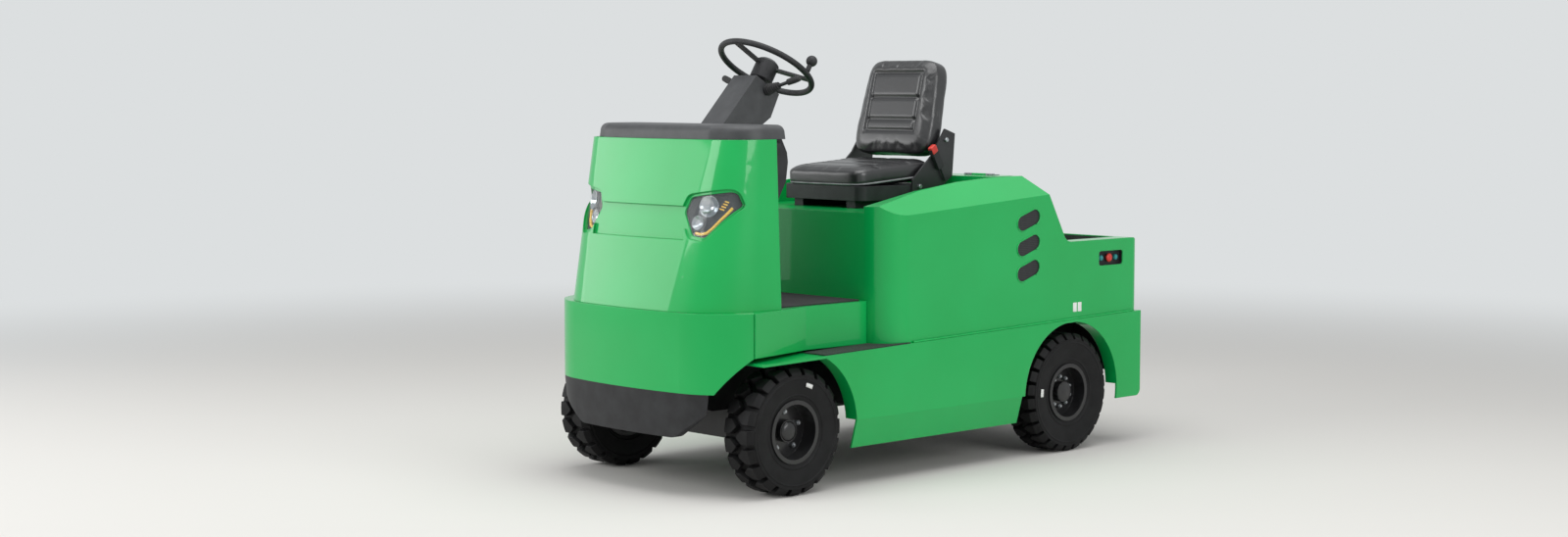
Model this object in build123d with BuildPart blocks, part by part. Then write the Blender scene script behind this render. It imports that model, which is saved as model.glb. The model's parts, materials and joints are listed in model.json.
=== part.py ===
from build123d import *
import math
import os

# Electric tow tractor. X points forward, Y to the driver's left, Z up, ground at Z = 0, millimetres.
# Driving dimensions
FRONT_OVERHANG = 376
WHEELBASE = 1550
REAR_OVERHANG = 450
HITCH_REACH = 76
FRONT_TYRE_R = 237.5
REAR_TYRE_R = 245
TYRE_WIDTH = 155
RIM_SEAT_R = 110.5
FRONT_TYRE_OUTER_Y = 560
REAR_TYRE_OUTER_Y = 566
BODY_HALF = 560
SKIRT_HALF = 575
FLOOR_Z = 685
HOOD_TOP_Z = 1140
COWL_TOP_Z = 1311
LEDGE_FRONT_Z = 503
LEDGE_REAR_Z = 557
SKIRT_FOLD_Z = 257
SKIRT_BOTTOM_Z = 147
TRAY_TOP_Z = 868

# Clearances
FIT_GAP = 0.3
MOVING_GAP = 6
CUT_REACH = 100

# Stations along the machine, from the overall length about its middle
OVERALL_LENGTH = FRONT_OVERHANG + WHEELBASE + REAR_OVERHANG + HITCH_REACH
NOSE_X = OVERALL_LENGTH / 2
FRONT_AXLE_X = NOSE_X - FRONT_OVERHANG
REAR_AXLE_X = FRONT_AXLE_X - WHEELBASE
BODY_REAR_X = REAR_AXLE_X - REAR_OVERHANG

# Nose, bumper and foot well
NOSE_HALF = 540
NOSE_BOW = 69
NOSE_CORNER_R = 270
NOSE_WALL = 5
NOSE_CREASE_X = NOSE_X - 196
NOSE_BOTTOM_Z = 390
NOSE_ARCH_R = 335
BUMPER_BOTTOM_Z = 222
BUMPER_BACK_X = NOSE_X - 66
BUMPER_TOP_HALF = 420
BUMPER_BOTTOM_HALF = 270
BUMPER_TAPER = 4.5
BUMPER_FLANK = 70
BUMPER_END_ROUND = 60
STEP_WIDTH = 125
FLOOR_HALF = SKIRT_HALF - STEP_WIDTH
FLOOR_FLARE_X = FRONT_AXLE_X - 150
FLOOR_WALL = 6
FLOOR_PLATE = 10
FLOOR_TUCK = 10
FLOOR_LEDGE_GAP = 18
MAT_THICK = 5
MAT_MARGIN = 12
MAT_SIDE_MARGIN = 18
MAT_TOE_GAP = 15
MAT_ROUND = 20

# Pedals: Y of the middle and half width of each, then the sizes of their common side view
PEDALS = ((-240, 42), (-110, 55))
PEDAL_LONG = 130
PEDAL_TOE = 20
PEDAL_HINGE = 62
PEDAL_FOOT = 12
PEDAL_PLATE = 14
PEDAL_RISE = 110

# Cowl: plan at its foot and at its top
COWL_WALL = 8
COWL_FOOT_FRONT_X = NOSE_X - 9
COWL_FOOT_HALF = 476
COWL_FOOT_BOW = 50
COWL_FOOT_CORNER_R = 260
COWL_TOP_FRONT_X = NOSE_X - 147
COWL_TOP_HALF = 450
COWL_TOP_BOW = 40
COWL_TOP_CORNER_R = 140
COWL_REAR_X = FRONT_AXLE_X
COWL_BAND_DEPTH = 10
COWL_BAND_LOW_Z = COWL_TOP_Z - 365
COWL_BAND_HIGH_Z = COWL_TOP_Z - 243
COWL_BAND_HALF = 262

# Head lamps in the front corners of the cowl: Y and drop from the cowl's top of each corner of the outline
LAMP_YS = (240, 262, 420, 434, 345, 290)
LAMP_DROPS = (266, 211, 188, 241, 358, 349)
LAMP_ROUND = 20
LAMP_RECESS = 12
LAMP_REAR_X = NOSE_X - 261
LAMP_DEPTH = 55
LAMP_WALL = 3
LAMP_SINK = COWL_BAND_DEPTH + 4
LENS_THICK = 3.5

# Dash housing behind and on top of the cowl
DASH_HALF = 430
DASH_SETBACK = 2
DASH_TOP_Z = 1366
DASH_TOP_ROUND = 28
DASH_TOP_TAPER = 12
DASH_BACKS = (41, 71, 76, 66, 25)
DASH_DROPS = (-7, 49, 85, 158, 226)
KICK_PANEL_THICK = 20

# Steering column and wheel
WHEEL_HUB_X = FRONT_AXLE_X - 365
WHEEL_HUB_Z = 1578
COLUMN_LEAN = 31.6
STEER_RIM_R = 191
STEER_TUBE_R = 12
STEER_HUB_R = 46
STEER_HUB_LOW = 58
STEER_HUB_HIGH = 18
COLUMN_SHAFT_R = 14
SHROUD_TOP_DROP = 84
SHROUD_HALF = 65
SHROUD_FORWARD = 78
SHROUD_BACK = 62
SHROUD_HEEL_X = 45
SHROUD_HEEL_DROP = 90
SPOKE_COUNT = 3
SPOKE_WIDTH = 26
SPOKE_THICK = 9
SPOKE_DROP = 5
KNOB_R = 22
KNOB_HEIGHT = 56
KNOB_ANGLE = 104
KNOB_STEM_R = 10

# Levers under the wheel: side and reach of each, then their common sizes
LEVERS = ((1, 160), (-1, 140))
LEVER_BACK = 0.18
LEVER_LIFT = 0.3
LEVER_DROP = 18
LEVER_R = 7
LEVER_GRIP_R = 11
LEVER_GRIP = 45
LEVER_BOSS_R = 20
LEVER_BOSS = 14
LEVER_ROOT = 4

# Main body under the seat and over the drive axle
BODY_FRONT_X = FRONT_AXLE_X - 472
BODY_WALL = 5
BODY_CORNER_R = 125
BODY_REAR_CORNER_R = 40
BODY_BASE_Z = 440
HOOD_REAR_X = REAR_AXLE_X + 176
HOOD_FOOT_X = REAR_AXLE_X + 24
HOOD_FOOT_ROUND = 50
DECK_Z = HOOD_TOP_Z - 118

# Cheeks beside the hood: the top line's set-back and drop at its front, bend and rear, and the crease below
CHEEK_FRONT_DROP = 94
CHEEK_BEND_BACK = 280
CHEEK_BEND_DROP = 43
CHEEK_REAR_BACK = 593
CHEEK_REAR_DROP = 6
CHEEK_TAN = 74 / 110
CREASE_X = BODY_FRONT_X - 160
CREASE_DROP = 124
CREASE_RISE = 0.064
CHEEK_REACH = 300
CHEEK_OVERLAP = 30

# Lifting hood: its hinge at the back and its rebate at the front
HOOD_HALF = BODY_HALF - 128
HINGE_X = HOOD_REAR_X + 40
HINGE_BARREL_R = 6
HINGE_PIN_R = 3
HINGE_Y = 250
HINGE_LENGTH = 160
HINGE_MIDDLE = 76
HINGE_LEAF = 26
HINGE_PLATE = 3
HINGE_GAP = 2
HINGE_Z = HOOD_TOP_Z + 1
DECK_THICK = 6
DECK_RISER_X = REAR_AXLE_X + 340
REBATE_X = BODY_FRONT_X - 30
REBATE_Z = DECK_Z - 18
REBATE_LEDGE = 40
BUFFER_R = 12
BUFFER_Y = 300

# Rear tray
TRAY_FRONT_X = HOOD_FOOT_X - 41
TRAY_END_ROUND = 45
TRAY_HALF = BODY_HALF - 80
TRAY_FLOOR_Z = 640
TRAY_WALL = 5
TRAY_RIM = 10
TRAY_REAR_X = BODY_REAR_X + TRAY_END_ROUND + TRAY_RIM + 7
TRAY_MID_X = (TRAY_FRONT_X + TRAY_REAR_X) / 2
TRAY_LONG = TRAY_FRONT_X - TRAY_REAR_X

# Side skirts, ledges and step pads
SKIRT_PLATE = 8
LEDGE_PLATE = 10
LEDGE_INNER_Y = FLOOR_HALF - 20
FOLD_IN = 30
ARCH_GAP_FRONT = 59
ARCH_GAP_REAR = 48
ARCH_FLANGE_WIDTH = 52
ARCH_FLANGE_PLATE = 6
QUARTER_BOTTOM_Z = 195
QUARTER_ROUND = 28
SKIRT_FRONT_X = FRONT_AXLE_X - 296
SKIRT_REAR_X = REAR_AXLE_X + 311
STEP_PAD_THICK = 4
STEP_PAD_GAP = 2
STEP_PAD_EDGE = 6
STEP_PAD_FRONT_X = FRONT_AXLE_X - 132
STEP_PAD_REAR_X = BODY_FRONT_X - 120

# Vents and the control recess
VENT_LONG = 140
VENT_HIGH = 62
VENT_TILT = 18
VENT_X = REAR_AXLE_X + 263
VENT_COUNT = 3
VENT_PITCH = 102
VENT_TOP_Z = HOOD_TOP_Z - 173
VENT_LEVELS = [VENT_TOP_Z - row * VENT_PITCH for row in range(VENT_COUNT)]
VENT_FLANGE = 8
VENT_PLATE = 3
CONTROL_X = REAR_AXLE_X - 264
CONTROL_Z = 789
CONTROL_LONG = 156
CONTROL_HIGH = 60
CONTROL_DEPTH = 24
CONTROL_ROUND = 12
CONTROL_RIM = 12
CONTROL_PLATE = 4
STOP_BUTTON_R = 18.5
STOP_STEM_R = 12.5
STOP_STEM = 8
STOP_CAP = 10
PUSH_BUTTON_R = 12
PUSH_BUTTON_HIGH = 12
PUSH_BUTTON_OFFSET = 48

# Frame
RAIL_OUTER_Y = 225
RAIL_THICK = 24
RAIL_TOP_Z = 545
RAIL_BOTTOM_Z = 290
RAIL_NOTCH_Z = 320
RAIL_SAG_Z = RAIL_BOTTOM_Z - 40
RAIL_NOTCH_HALF = 150
RAIL_RAMP = 150
RAIL_FRONT_RISE = 60
RAIL_ARCH_FRONT = 120
FRAME_FRONT_X = BUMPER_BACK_X
END_PLATE = 20
END_PLATE_WIDE = 600
BAY_FLOOR_THICK = 10
OUTRIGGER_WIDTH = 40
OUTRIGGER_Z = (300, 440)
BATTERY_LENGTH = 650
BATTERY_WIDTH = 760
BATTERY_HEIGHT = 400
BATTERY_GAP = 40

# Front axle and steering
KINGPIN_Y = 380
KINGPIN_R = 12
KNUCKLE_BOSS_R = 26
KNUCKLE_BOSS_HALF = 40
YOKE_R = 28
YOKE_PLATE = 16
YOKE_GAP = 0.3
BEAM_HALF = 310
BEAM_DEPTH = 60
STEER_ARM = 110
ARM_HALF_WIDTH = 13
ARM_THICK = 20
STUD_R = 8
ROD_END_R = 18
ROD_R = 11
ROD_DROP = 32
SPINDLE_R = 20
SPINDLE_END_Y = 500

# Rear axle and drive
AXLE_TUBE_R = 48
AXLE_TUBE_HALF = 396
AXLE_CASE_R = 120
AXLE_CASE_HALF = 90
AXLE_NECK_R = 80
AXLE_PAD_Y = (190, 235)
AXLE_PAD_LONG = 120
STUB_R = 28
STUB_END_Y = 520
MOTOR_R = 100
MOTOR_LENGTH = 280

# Wheels
RIM_WALL = 8
RIM_LIP = 8
RIM_LIP_THICK = 5
RIM_LIP_GAP = 2
DISC_THICK = 12
FRONT_DISC_Y = 484
REAR_DISC_Y = 500
HUB_R = 42
HUB_BACK = 40
HUB_CAP = 14
BORE_GAP = 2
TYRE_HALF = TYRE_WIDTH / 2
BEAD_HALF = 0.8 * TYRE_HALF

# Tyre lugs: number in a row, depth, half length in pitches, and Y of the tip, the neck and the end of the top
FRONT_ROW_LUGS = 20
REAR_ROW_LUGS = 26
LUG_DEPTH = 24
LUG_SINK = 4
LUG_HALF = 0.4
LUG_TIP_Y = 3
LUG_NECK_Y = 30
LUG_TOP_Y = 60
LUG_DRAFT = 6

# Tow hitch at the back
HITCH_PLATE = 15
HITCH_HALF = 60
HITCH_JAW_THICK = 20
HITCH_JAW_LEVELS = (310, 390, 470)
HITCH_PIN_R = 16
HITCH_PIN_INSET = 34
HITCH_MARGIN = 15
HITCH_ROUND = 30

# Tail lamps
TAIL_LAMP_Y = BODY_HALF - 110
TAIL_LAMP_Z = TRAY_TOP_Z - 123
TAIL_LAMP_WIDE = 90
TAIL_LAMP_HIGH = 110
TAIL_LAMP_ROUND = 14
TAIL_LAMP_THICK = 14

# Seat
SEAT_HALF = 235
SEAT_FRONT_X = FRONT_AXLE_X - 655
SEAT_REAR_X = FRONT_AXLE_X - 1100
CUSHION_BOTTOM_Z = DECK_Z + 88
CUSHION_FRONT_Z = CUSHION_BOTTOM_Z + 70
CUSHION_REAR_Z = CUSHION_BOTTOM_Z + 102
BACK_TOP_Z = CUSHION_BOTTOM_Z + 506
CUSHION_ROUND = 22
SEAT_RAIL_Y = 150
SEAT_RAIL_LONG = 380
SEAT_RAIL_WIDE = 50
SEAT_RAIL_HIGH = 30
SEAT_RAIL_INSET = 30
SEAT_PAN_INSET = 10
SEAT_PAN_ROUND = 40

# Seat back: outline from the front, then the reach ahead of the seat's rear end and the share of the height
BACK_FOOT_Z = CUSHION_REAR_Z + 6
BACK_FOOT_HALF = 195
BACK_FOOT_RISE = 45
BACK_SIDE_RISE = 130
BACK_TOP_HALF = 198
BACK_TOP_ROUND = 60
BACK_REACHES = (62, -25, -45, -95, -122, -122, -80)
BACK_SHARES = (0, 0.95, 1, 1, 0.65, 0.23, 0)

# Seat brackets: reach ahead of the seat's rear end and rise over the deck of each corner
BRACKET_THICK = 8
BRACKET_REACHES = (150, 150, 30, -40, -100, -85, 20)
BRACKET_RISES = (45, 108, 210, 310, 290, 118, 45)
BUCKLE_WIDE = 34
BUCKLE_LONG = 100
BUCKLE_ROUND = 8
BUCKLE_TILT = 30
BUCKLE_THICK = 18
BUCKLE_REACH = 22
BUCKLE_Z = CUSHION_REAR_Z + 5
SEAT_INNER_HALF = SEAT_HALF - BRACKET_THICK

os.makedirs("parts", exist_ok=True)


def save(piece, node):
    """Label one finished piece and write it."""
    piece.label = node
    export_step(piece, f"parts/{node}.step")


def ledge_z(x):
    """Height of the ledge line, which rises gently from the nose crease to the back."""
    share = (NOSE_CREASE_X - x) / (NOSE_CREASE_X - BODY_REAR_X)
    return LEDGE_FRONT_Z + share * (LEDGE_REAR_Z - LEDGE_FRONT_Z)


def bowed_plan(front_x, rear_x, half, bow, corner):
    """Plan of a front panel: a shallow bow across the front, round corners, straight sides."""
    with BuildSketch() as plan:
        with BuildLine():
            ThreePointArc((front_x - bow, half), (front_x, 0), (front_x - bow, -half))
            Polyline((front_x - bow, -half), (rear_x, -half), (rear_x, half), (front_x - bow, half))
        make_face()
        fillet(plan.vertices().group_by(Axis.X)[-1], corner)
    return plan.sketch


def nose_plan(inset):
    """Plan of the nose, moved inwards by an inset."""
    rear_x = FRONT_AXLE_X
    return bowed_plan(NOSE_X - inset, rear_x, NOSE_HALF - inset, NOSE_BOW, NOSE_CORNER_R - inset)


def cowl_form(inset, rear_x):
    """Closed form of the cowl between its foot and its top, moved inwards by an inset."""
    with BuildPart() as form:
        with BuildSketch(Plane.XY.offset(FLOOR_Z)):
            add(
                bowed_plan(
                    COWL_FOOT_FRONT_X - inset,
                    rear_x,
                    COWL_FOOT_HALF - inset,
                    COWL_FOOT_BOW,
                    COWL_FOOT_CORNER_R - inset,
                )
            )
        with BuildSketch(Plane.XY.offset(COWL_TOP_Z)):
            add(
                bowed_plan(
                    COWL_TOP_FRONT_X - inset,
                    rear_x,
                    COWL_TOP_HALF - inset,
                    COWL_TOP_BOW,
                    COWL_TOP_CORNER_R - inset,
                )
            )
        loft(ruled=True)
    return form.part


def body_form(inset):
    """Closed form of the main body: plan with round corners, cut to the side profile and the cheeks."""
    with BuildPart() as form:
        with BuildSketch(Plane.XY.offset(BODY_BASE_Z)) as plan:
            with BuildLine():
                Polyline(
                    (BODY_FRONT_X - inset, -BODY_HALF + inset),
                    (BODY_FRONT_X - inset, BODY_HALF - inset),
                    (BODY_REAR_X + inset, BODY_HALF - inset),
                    (BODY_REAR_X + inset, -BODY_HALF + inset),
                    close=True,
                )
            make_face()
            fillet(plan.vertices().group_by(Axis.X)[-1], BODY_CORNER_R - inset)
            fillet(plan.vertices().group_by(Axis.X)[0], BODY_REAR_CORNER_R - inset)
        extrude(amount=HOOD_TOP_Z - BODY_BASE_Z)
        with BuildSketch(Plane.XZ) as profile:
            with BuildLine():
                Polyline(
                    (BODY_FRONT_X, BODY_BASE_Z - 2 * BODY_WALL),
                    (BODY_FRONT_X, HOOD_TOP_Z - CHEEK_FRONT_DROP),
                    (BODY_FRONT_X - CHEEK_BEND_BACK, HOOD_TOP_Z - CHEEK_BEND_DROP),
                    (BODY_FRONT_X - CHEEK_REAR_BACK, HOOD_TOP_Z - CHEEK_REAR_DROP),
                    (HOOD_REAR_X, HOOD_TOP_Z),
                    (HOOD_FOOT_X, TRAY_TOP_Z),
                    (BODY_REAR_X, TRAY_TOP_Z),
                    (BODY_REAR_X, BODY_BASE_Z - 2 * BODY_WALL),
                    close=True,
                )
            make_face()
            fillet(profile.vertices().sort_by_distance((BODY_REAR_X, TRAY_TOP_Z, 0))[0], TRAY_END_ROUND)
            fillet(profile.vertices().sort_by_distance((HOOD_FOOT_X, TRAY_TOP_Z, 0))[0], HOOD_FOOT_ROUND)
            if inset:
                offset(amount=-inset)
        extrude(amount=BODY_HALF, both=True, mode=Mode.INTERSECT)
        inset_drop = inset * math.hypot(1, CHEEK_TAN)
        for side in (1, -1):
            for x in (NOSE_X, BODY_REAR_X):
                crease_z = HOOD_TOP_Z - CREASE_DROP + (CREASE_X - x) * CREASE_RISE - inset_drop
                with BuildSketch(Plane.YZ.offset(x)):
                    Polygon(
                        (side * (BODY_HALF + CHEEK_OVERLAP), crease_z - CHEEK_OVERLAP * CHEEK_TAN),
                        (side * (BODY_HALF - CHEEK_REACH), crease_z + CHEEK_REACH * CHEEK_TAN),
                        (side * (BODY_HALF + CHEEK_OVERLAP), crease_z + CHEEK_REACH * CHEEK_TAN),
                        align=None,
                    )
            loft(ruled=True, mode=Mode.SUBTRACT)
    return form.part


def below_ledge():
    """Everything lower than the ledge line, as a prism right across the machine."""
    front_x = NOSE_X + CUT_REACH
    rear_x = BODY_REAR_X - CUT_REACH
    with BuildPart() as prism:
        with BuildSketch(Plane.XZ):
            Polygon(
                (front_x, ledge_z(front_x)),
                (rear_x, ledge_z(rear_x)),
                (rear_x, 0),
                (front_x, 0),
                align=None,
            )
        extrude(amount=SKIRT_HALF + CUT_REACH, both=True)
    return prism.part


# Main body shell, with its hood opening, tray opening, vents and control recess
with BuildPart() as body_void:
    add(body_form(BODY_WALL))
    for side in (1, -1):
        with Locations((0, side * (HOOD_HALF + BODY_WALL / 2), REBATE_Z)):
            Box(
                2 * OVERALL_LENGTH,
                BODY_WALL,
                HOOD_TOP_Z,
                align=(Align.CENTER, Align.CENTER, Align.MIN),
                mode=Mode.SUBTRACT,
            )
    with BuildSketch(Plane.XZ):
        Polygon(
            (BODY_FRONT_X, DECK_Z),
            (REBATE_X, DECK_Z),
            (REBATE_X, REBATE_Z),
            (REBATE_X - REBATE_LEDGE, REBATE_Z),
            (REBATE_X - REBATE_LEDGE, REBATE_Z - BODY_WALL),
            (REBATE_X + BODY_WALL, REBATE_Z - BODY_WALL),
            (REBATE_X + BODY_WALL, DECK_Z - BODY_WALL),
            (BODY_FRONT_X, DECK_Z - BODY_WALL),
            align=None,
        )
    extrude(amount=HOOD_HALF + BODY_WALL, both=True, mode=Mode.SUBTRACT)

with BuildPart() as seat_body:
    add(body_form(0))
    add(body_void.part, mode=Mode.SUBTRACT)
    hood_gap_x = HINGE_X - HINGE_BARREL_R - HINGE_GAP
    with BuildSketch(Plane.XZ):
        Polygon(
            (BODY_FRONT_X + BODY_WALL, DECK_Z),
            (REBATE_X, DECK_Z),
            (REBATE_X, REBATE_Z),
            (hood_gap_x, REBATE_Z),
            (hood_gap_x, HOOD_TOP_Z + BODY_WALL),
            (BODY_FRONT_X + BODY_WALL, HOOD_TOP_Z + BODY_WALL),
            align=None,
        )
    extrude(amount=HOOD_HALF, both=True, mode=Mode.SUBTRACT)
    with Locations((TRAY_MID_X, 0, TRAY_TOP_Z)):
        Box(
            TRAY_LONG + 2 * TRAY_RIM + 2 * FIT_GAP,
            2 * (BODY_HALF - BODY_WALL),
            4 * BODY_WALL,
            mode=Mode.SUBTRACT,
        )
    add(below_ledge(), mode=Mode.SUBTRACT)
    for level in VENT_LEVELS:
        with BuildSketch(Plane.XZ):
            with Locations((VENT_X, level)):
                SlotOverall(VENT_LONG, VENT_HIGH, rotation=-VENT_TILT)
        extrude(amount=BODY_HALF + CUT_REACH, both=True, mode=Mode.SUBTRACT)
    with BuildSketch(Plane.XZ):
        with Locations((CONTROL_X, CONTROL_Z)):
            RectangleRounded(CONTROL_LONG, CONTROL_HIGH, CONTROL_ROUND)
    extrude(amount=-BODY_HALF - CUT_REACH, mode=Mode.SUBTRACT)
save(seat_body.part, "seat_body")

# Vent inserts, three on each side
with BuildPart() as vent_grilles:
    for side in (1, -1):
        inner_y = side * (BODY_HALF - BODY_WALL)
        for level in VENT_LEVELS:
            with BuildSketch(Plane.XZ.offset(-inner_y)):
                with Locations((VENT_X, level)):
                    SlotOverall(VENT_LONG + 2 * VENT_FLANGE, VENT_HIGH + 2 * VENT_FLANGE, rotation=-VENT_TILT)
            extrude(amount=side * VENT_PLATE)
            with BuildSketch(Plane.XZ.offset(-inner_y)):
                with Locations((VENT_X, level)):
                    SlotOverall(VENT_LONG - 2 * FIT_GAP, VENT_HIGH - 2 * FIT_GAP, rotation=-VENT_TILT)
            extrude(amount=-side * VENT_PLATE)
save(vent_grilles.part, "vent_grilles")

# Control recess on the left, with its stop button and two push buttons
CONTROL_BACK_Y = BODY_HALF - CONTROL_DEPTH
CONTROL_FACE_Y = CONTROL_BACK_Y + CONTROL_PLATE
with BuildPart() as control_panel:
    with BuildSketch(Plane.XZ.offset(-CONTROL_BACK_Y)):
        with Locations((CONTROL_X, CONTROL_Z)):
            RectangleRounded(CONTROL_LONG + 2 * CONTROL_RIM, CONTROL_HIGH + 2 * CONTROL_RIM, CONTROL_ROUND)
    extrude(amount=-(CONTROL_DEPTH - BODY_WALL))
    with BuildSketch(Plane.XZ.offset(-CONTROL_FACE_Y)):
        with Locations((CONTROL_X, CONTROL_Z)):
            RectangleRounded(CONTROL_LONG, CONTROL_HIGH, CONTROL_ROUND)
    extrude(amount=-CONTROL_DEPTH, mode=Mode.SUBTRACT)
save(control_panel.part, "control_panel")

with BuildPart() as stop_button:
    with BuildSketch(Plane.XZ.offset(-CONTROL_FACE_Y)):
        with Locations((CONTROL_X, CONTROL_Z)):
            Circle(STOP_STEM_R)
    extrude(amount=-STOP_STEM)
    with BuildSketch(Plane.XZ.offset(-CONTROL_FACE_Y - STOP_STEM)):
        with Locations((CONTROL_X, CONTROL_Z)):
            Circle(STOP_BUTTON_R)
    extrude(amount=-STOP_CAP)
save(stop_button.part, "stop_button")

with BuildPart() as push_buttons:
    for shift in (-PUSH_BUTTON_OFFSET, PUSH_BUTTON_OFFSET):
        with BuildSketch(Plane.XZ.offset(-CONTROL_FACE_Y)):
            with Locations((CONTROL_X + shift, CONTROL_Z)):
                Circle(PUSH_BUTTON_R)
        extrude(amount=-PUSH_BUTTON_HIGH)
save(push_buttons.part, "push_buttons")

# Rear deck plate let in between the body's walls, and the tray that hangs under its opening
with BuildPart() as rear_deck:
    with BuildSketch(Plane.XY.offset(TRAY_TOP_Z - BODY_WALL)):
        with Locations((TRAY_MID_X, 0)):
            Rectangle(TRAY_LONG + 2 * TRAY_RIM, 2 * (BODY_HALF - BODY_WALL - FIT_GAP))
            Rectangle(TRAY_LONG, 2 * TRAY_HALF, mode=Mode.SUBTRACT)
    extrude(amount=BODY_WALL)
save(rear_deck.part, "rear_deck")

with BuildPart() as rear_tray:
    tray_depth = TRAY_TOP_Z - BODY_WALL - TRAY_FLOOR_Z
    with BuildSketch(Plane.XY.offset(TRAY_FLOOR_Z - TRAY_WALL)):
        with Locations((TRAY_MID_X, 0)):
            Rectangle(TRAY_LONG + 2 * TRAY_WALL, 2 * TRAY_HALF + 2 * TRAY_WALL)
    extrude(amount=tray_depth + TRAY_WALL)
    with BuildSketch(Plane.XY.offset(TRAY_FLOOR_Z)):
        with Locations((TRAY_MID_X, 0)):
            Rectangle(TRAY_LONG, 2 * TRAY_HALF)
    extrude(amount=tray_depth, mode=Mode.SUBTRACT)
save(rear_tray.part, "rear_tray")

# Hood hinges on the body, and rubber buffers under the front of the deck
with BuildPart() as hood_hinges:
    for y in (-HINGE_Y, HINGE_Y):
        leaf_front_x = HINGE_X - HINGE_BARREL_R - HINGE_GAP
        with Locations((leaf_front_x, y, HOOD_TOP_Z)):
            Box(HINGE_LEAF, HINGE_LENGTH, HINGE_PLATE, align=(Align.MAX, Align.CENTER, Align.MIN))
        for end in (-1, 1):
            knuckle_long = (HINGE_LENGTH - HINGE_MIDDLE) / 2 - 1
            knuckle_y = y + end * (HINGE_LENGTH - knuckle_long) / 2
            with BuildSketch(Plane.XZ.offset(-knuckle_y)):
                with Locations((HINGE_X, HINGE_Z)):
                    Circle(HINGE_BARREL_R)
            extrude(amount=knuckle_long / 2, both=True)
            with Locations((HINGE_X, knuckle_y, HOOD_TOP_Z)):
                Box(
                    HINGE_BARREL_R + HINGE_GAP + 1,
                    knuckle_long,
                    HINGE_PLATE,
                    align=(Align.MAX, Align.CENTER, Align.MIN),
                )
        with BuildSketch(Plane.XZ.offset(-y)):
            with Locations((HINGE_X, HINGE_Z)):
                Circle(HINGE_PIN_R)
        extrude(amount=HINGE_LENGTH / 2, both=True)
save(hood_hinges.part, "hood_hinges")

with BuildPart() as hood_buffers:
    with BuildSketch(Plane.XY.offset(REBATE_Z)):
        with Locations((REBATE_X - REBATE_LEDGE / 2, -BUFFER_Y), (REBATE_X - REBATE_LEDGE / 2, BUFFER_Y)):
            Circle(BUFFER_R)
    extrude(amount=DECK_Z - DECK_THICK - FIT_GAP - REBATE_Z)
save(hood_buffers.part, "hood_buffers")

# Seat deck: one bent sheet between the cheeks, hinged along its back edge
DECK_HALF = HOOD_HALF - MOVING_GAP
with BuildPart() as seat_deck:
    deck_front_x = REBATE_X - MOVING_GAP
    deck_rear_x = HINGE_X + HINGE_BARREL_R + HINGE_GAP
    with BuildSketch(Plane.XZ):
        Polygon(
            (deck_front_x, DECK_Z),
            (DECK_RISER_X + DECK_THICK, DECK_Z),
            (DECK_RISER_X + DECK_THICK, HOOD_TOP_Z),
            (deck_rear_x, HOOD_TOP_Z),
            (deck_rear_x, HOOD_TOP_Z - DECK_THICK),
            (DECK_RISER_X, HOOD_TOP_Z - DECK_THICK),
            (DECK_RISER_X, DECK_Z - DECK_THICK),
            (deck_front_x, DECK_Z - DECK_THICK),
            align=None,
        )
    extrude(amount=DECK_HALF, both=True)
    for y in (-HINGE_Y, HINGE_Y):
        with BuildSketch(Plane.XZ.offset(-y)):
            with Locations((HINGE_X, HINGE_Z)):
                Circle(HINGE_BARREL_R)
            with Locations((HINGE_X, HOOD_TOP_Z)):
                Rectangle(HINGE_BARREL_R + 2 * HINGE_GAP, DECK_THICK - 1, align=(Align.MIN, Align.MAX))
            with Locations((HINGE_X, HINGE_Z)):
                Circle(HINGE_PIN_R + FIT_GAP, mode=Mode.SUBTRACT)
        extrude(amount=HINGE_MIDDLE / 2, both=True)
save(seat_deck.part, "seat_deck")

# Nose panel with a flat top flange that carries the cowl
with BuildPart() as nose_panel:
    with BuildSketch(Plane.XY.offset(NOSE_BOTTOM_Z)):
        add(nose_plan(0))
    extrude(amount=FLOOR_Z - NOSE_BOTTOM_Z)
    with BuildSketch(Plane.XY.offset(NOSE_BOTTOM_Z)):
        add(nose_plan(NOSE_WALL))
    extrude(amount=FLOOR_Z - NOSE_BOTTOM_Z - NOSE_WALL, mode=Mode.SUBTRACT)
    with Locations((NOSE_CREASE_X, 0, 0)):
        Box(
            OVERALL_LENGTH,
            OVERALL_LENGTH,
            OVERALL_LENGTH,
            align=(Align.MAX, Align.CENTER, Align.CENTER),
            mode=Mode.SUBTRACT,
        )
    with BuildSketch(Plane.XZ):
        with Locations((FRONT_AXLE_X, FRONT_TYRE_R)):
            Circle(NOSE_ARCH_R)
    extrude(amount=2 * NOSE_HALF, both=True, mode=Mode.SUBTRACT)
save(nose_panel.part, "nose_panel")

# Black bumper under the nose, tapered inwards and with its lower corners cut away
with BuildPart() as front_bumper:
    with BuildSketch(Plane.XY.offset(NOSE_BOTTOM_Z)):
        add(nose_plan(0))
    extrude(amount=-(NOSE_BOTTOM_Z - BUMPER_BOTTOM_Z), taper=BUMPER_TAPER)
    with BuildSketch(Plane.YZ.offset(BUMPER_BACK_X)) as face:
        Polygon(
            (-BUMPER_TOP_HALF, NOSE_BOTTOM_Z),
            (-BUMPER_TOP_HALF, NOSE_BOTTOM_Z - BUMPER_FLANK),
            (-BUMPER_BOTTOM_HALF, BUMPER_BOTTOM_Z),
            (BUMPER_BOTTOM_HALF, BUMPER_BOTTOM_Z),
            (BUMPER_TOP_HALF, NOSE_BOTTOM_Z - BUMPER_FLANK),
            (BUMPER_TOP_HALF, NOSE_BOTTOM_Z),
            align=None,
        )
        fillet(face.vertices().group_by(Axis.Y)[0], BUMPER_END_ROUND)
    extrude(amount=NOSE_X, mode=Mode.INTERSECT)
save(front_bumper.part, "front_bumper")

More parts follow.
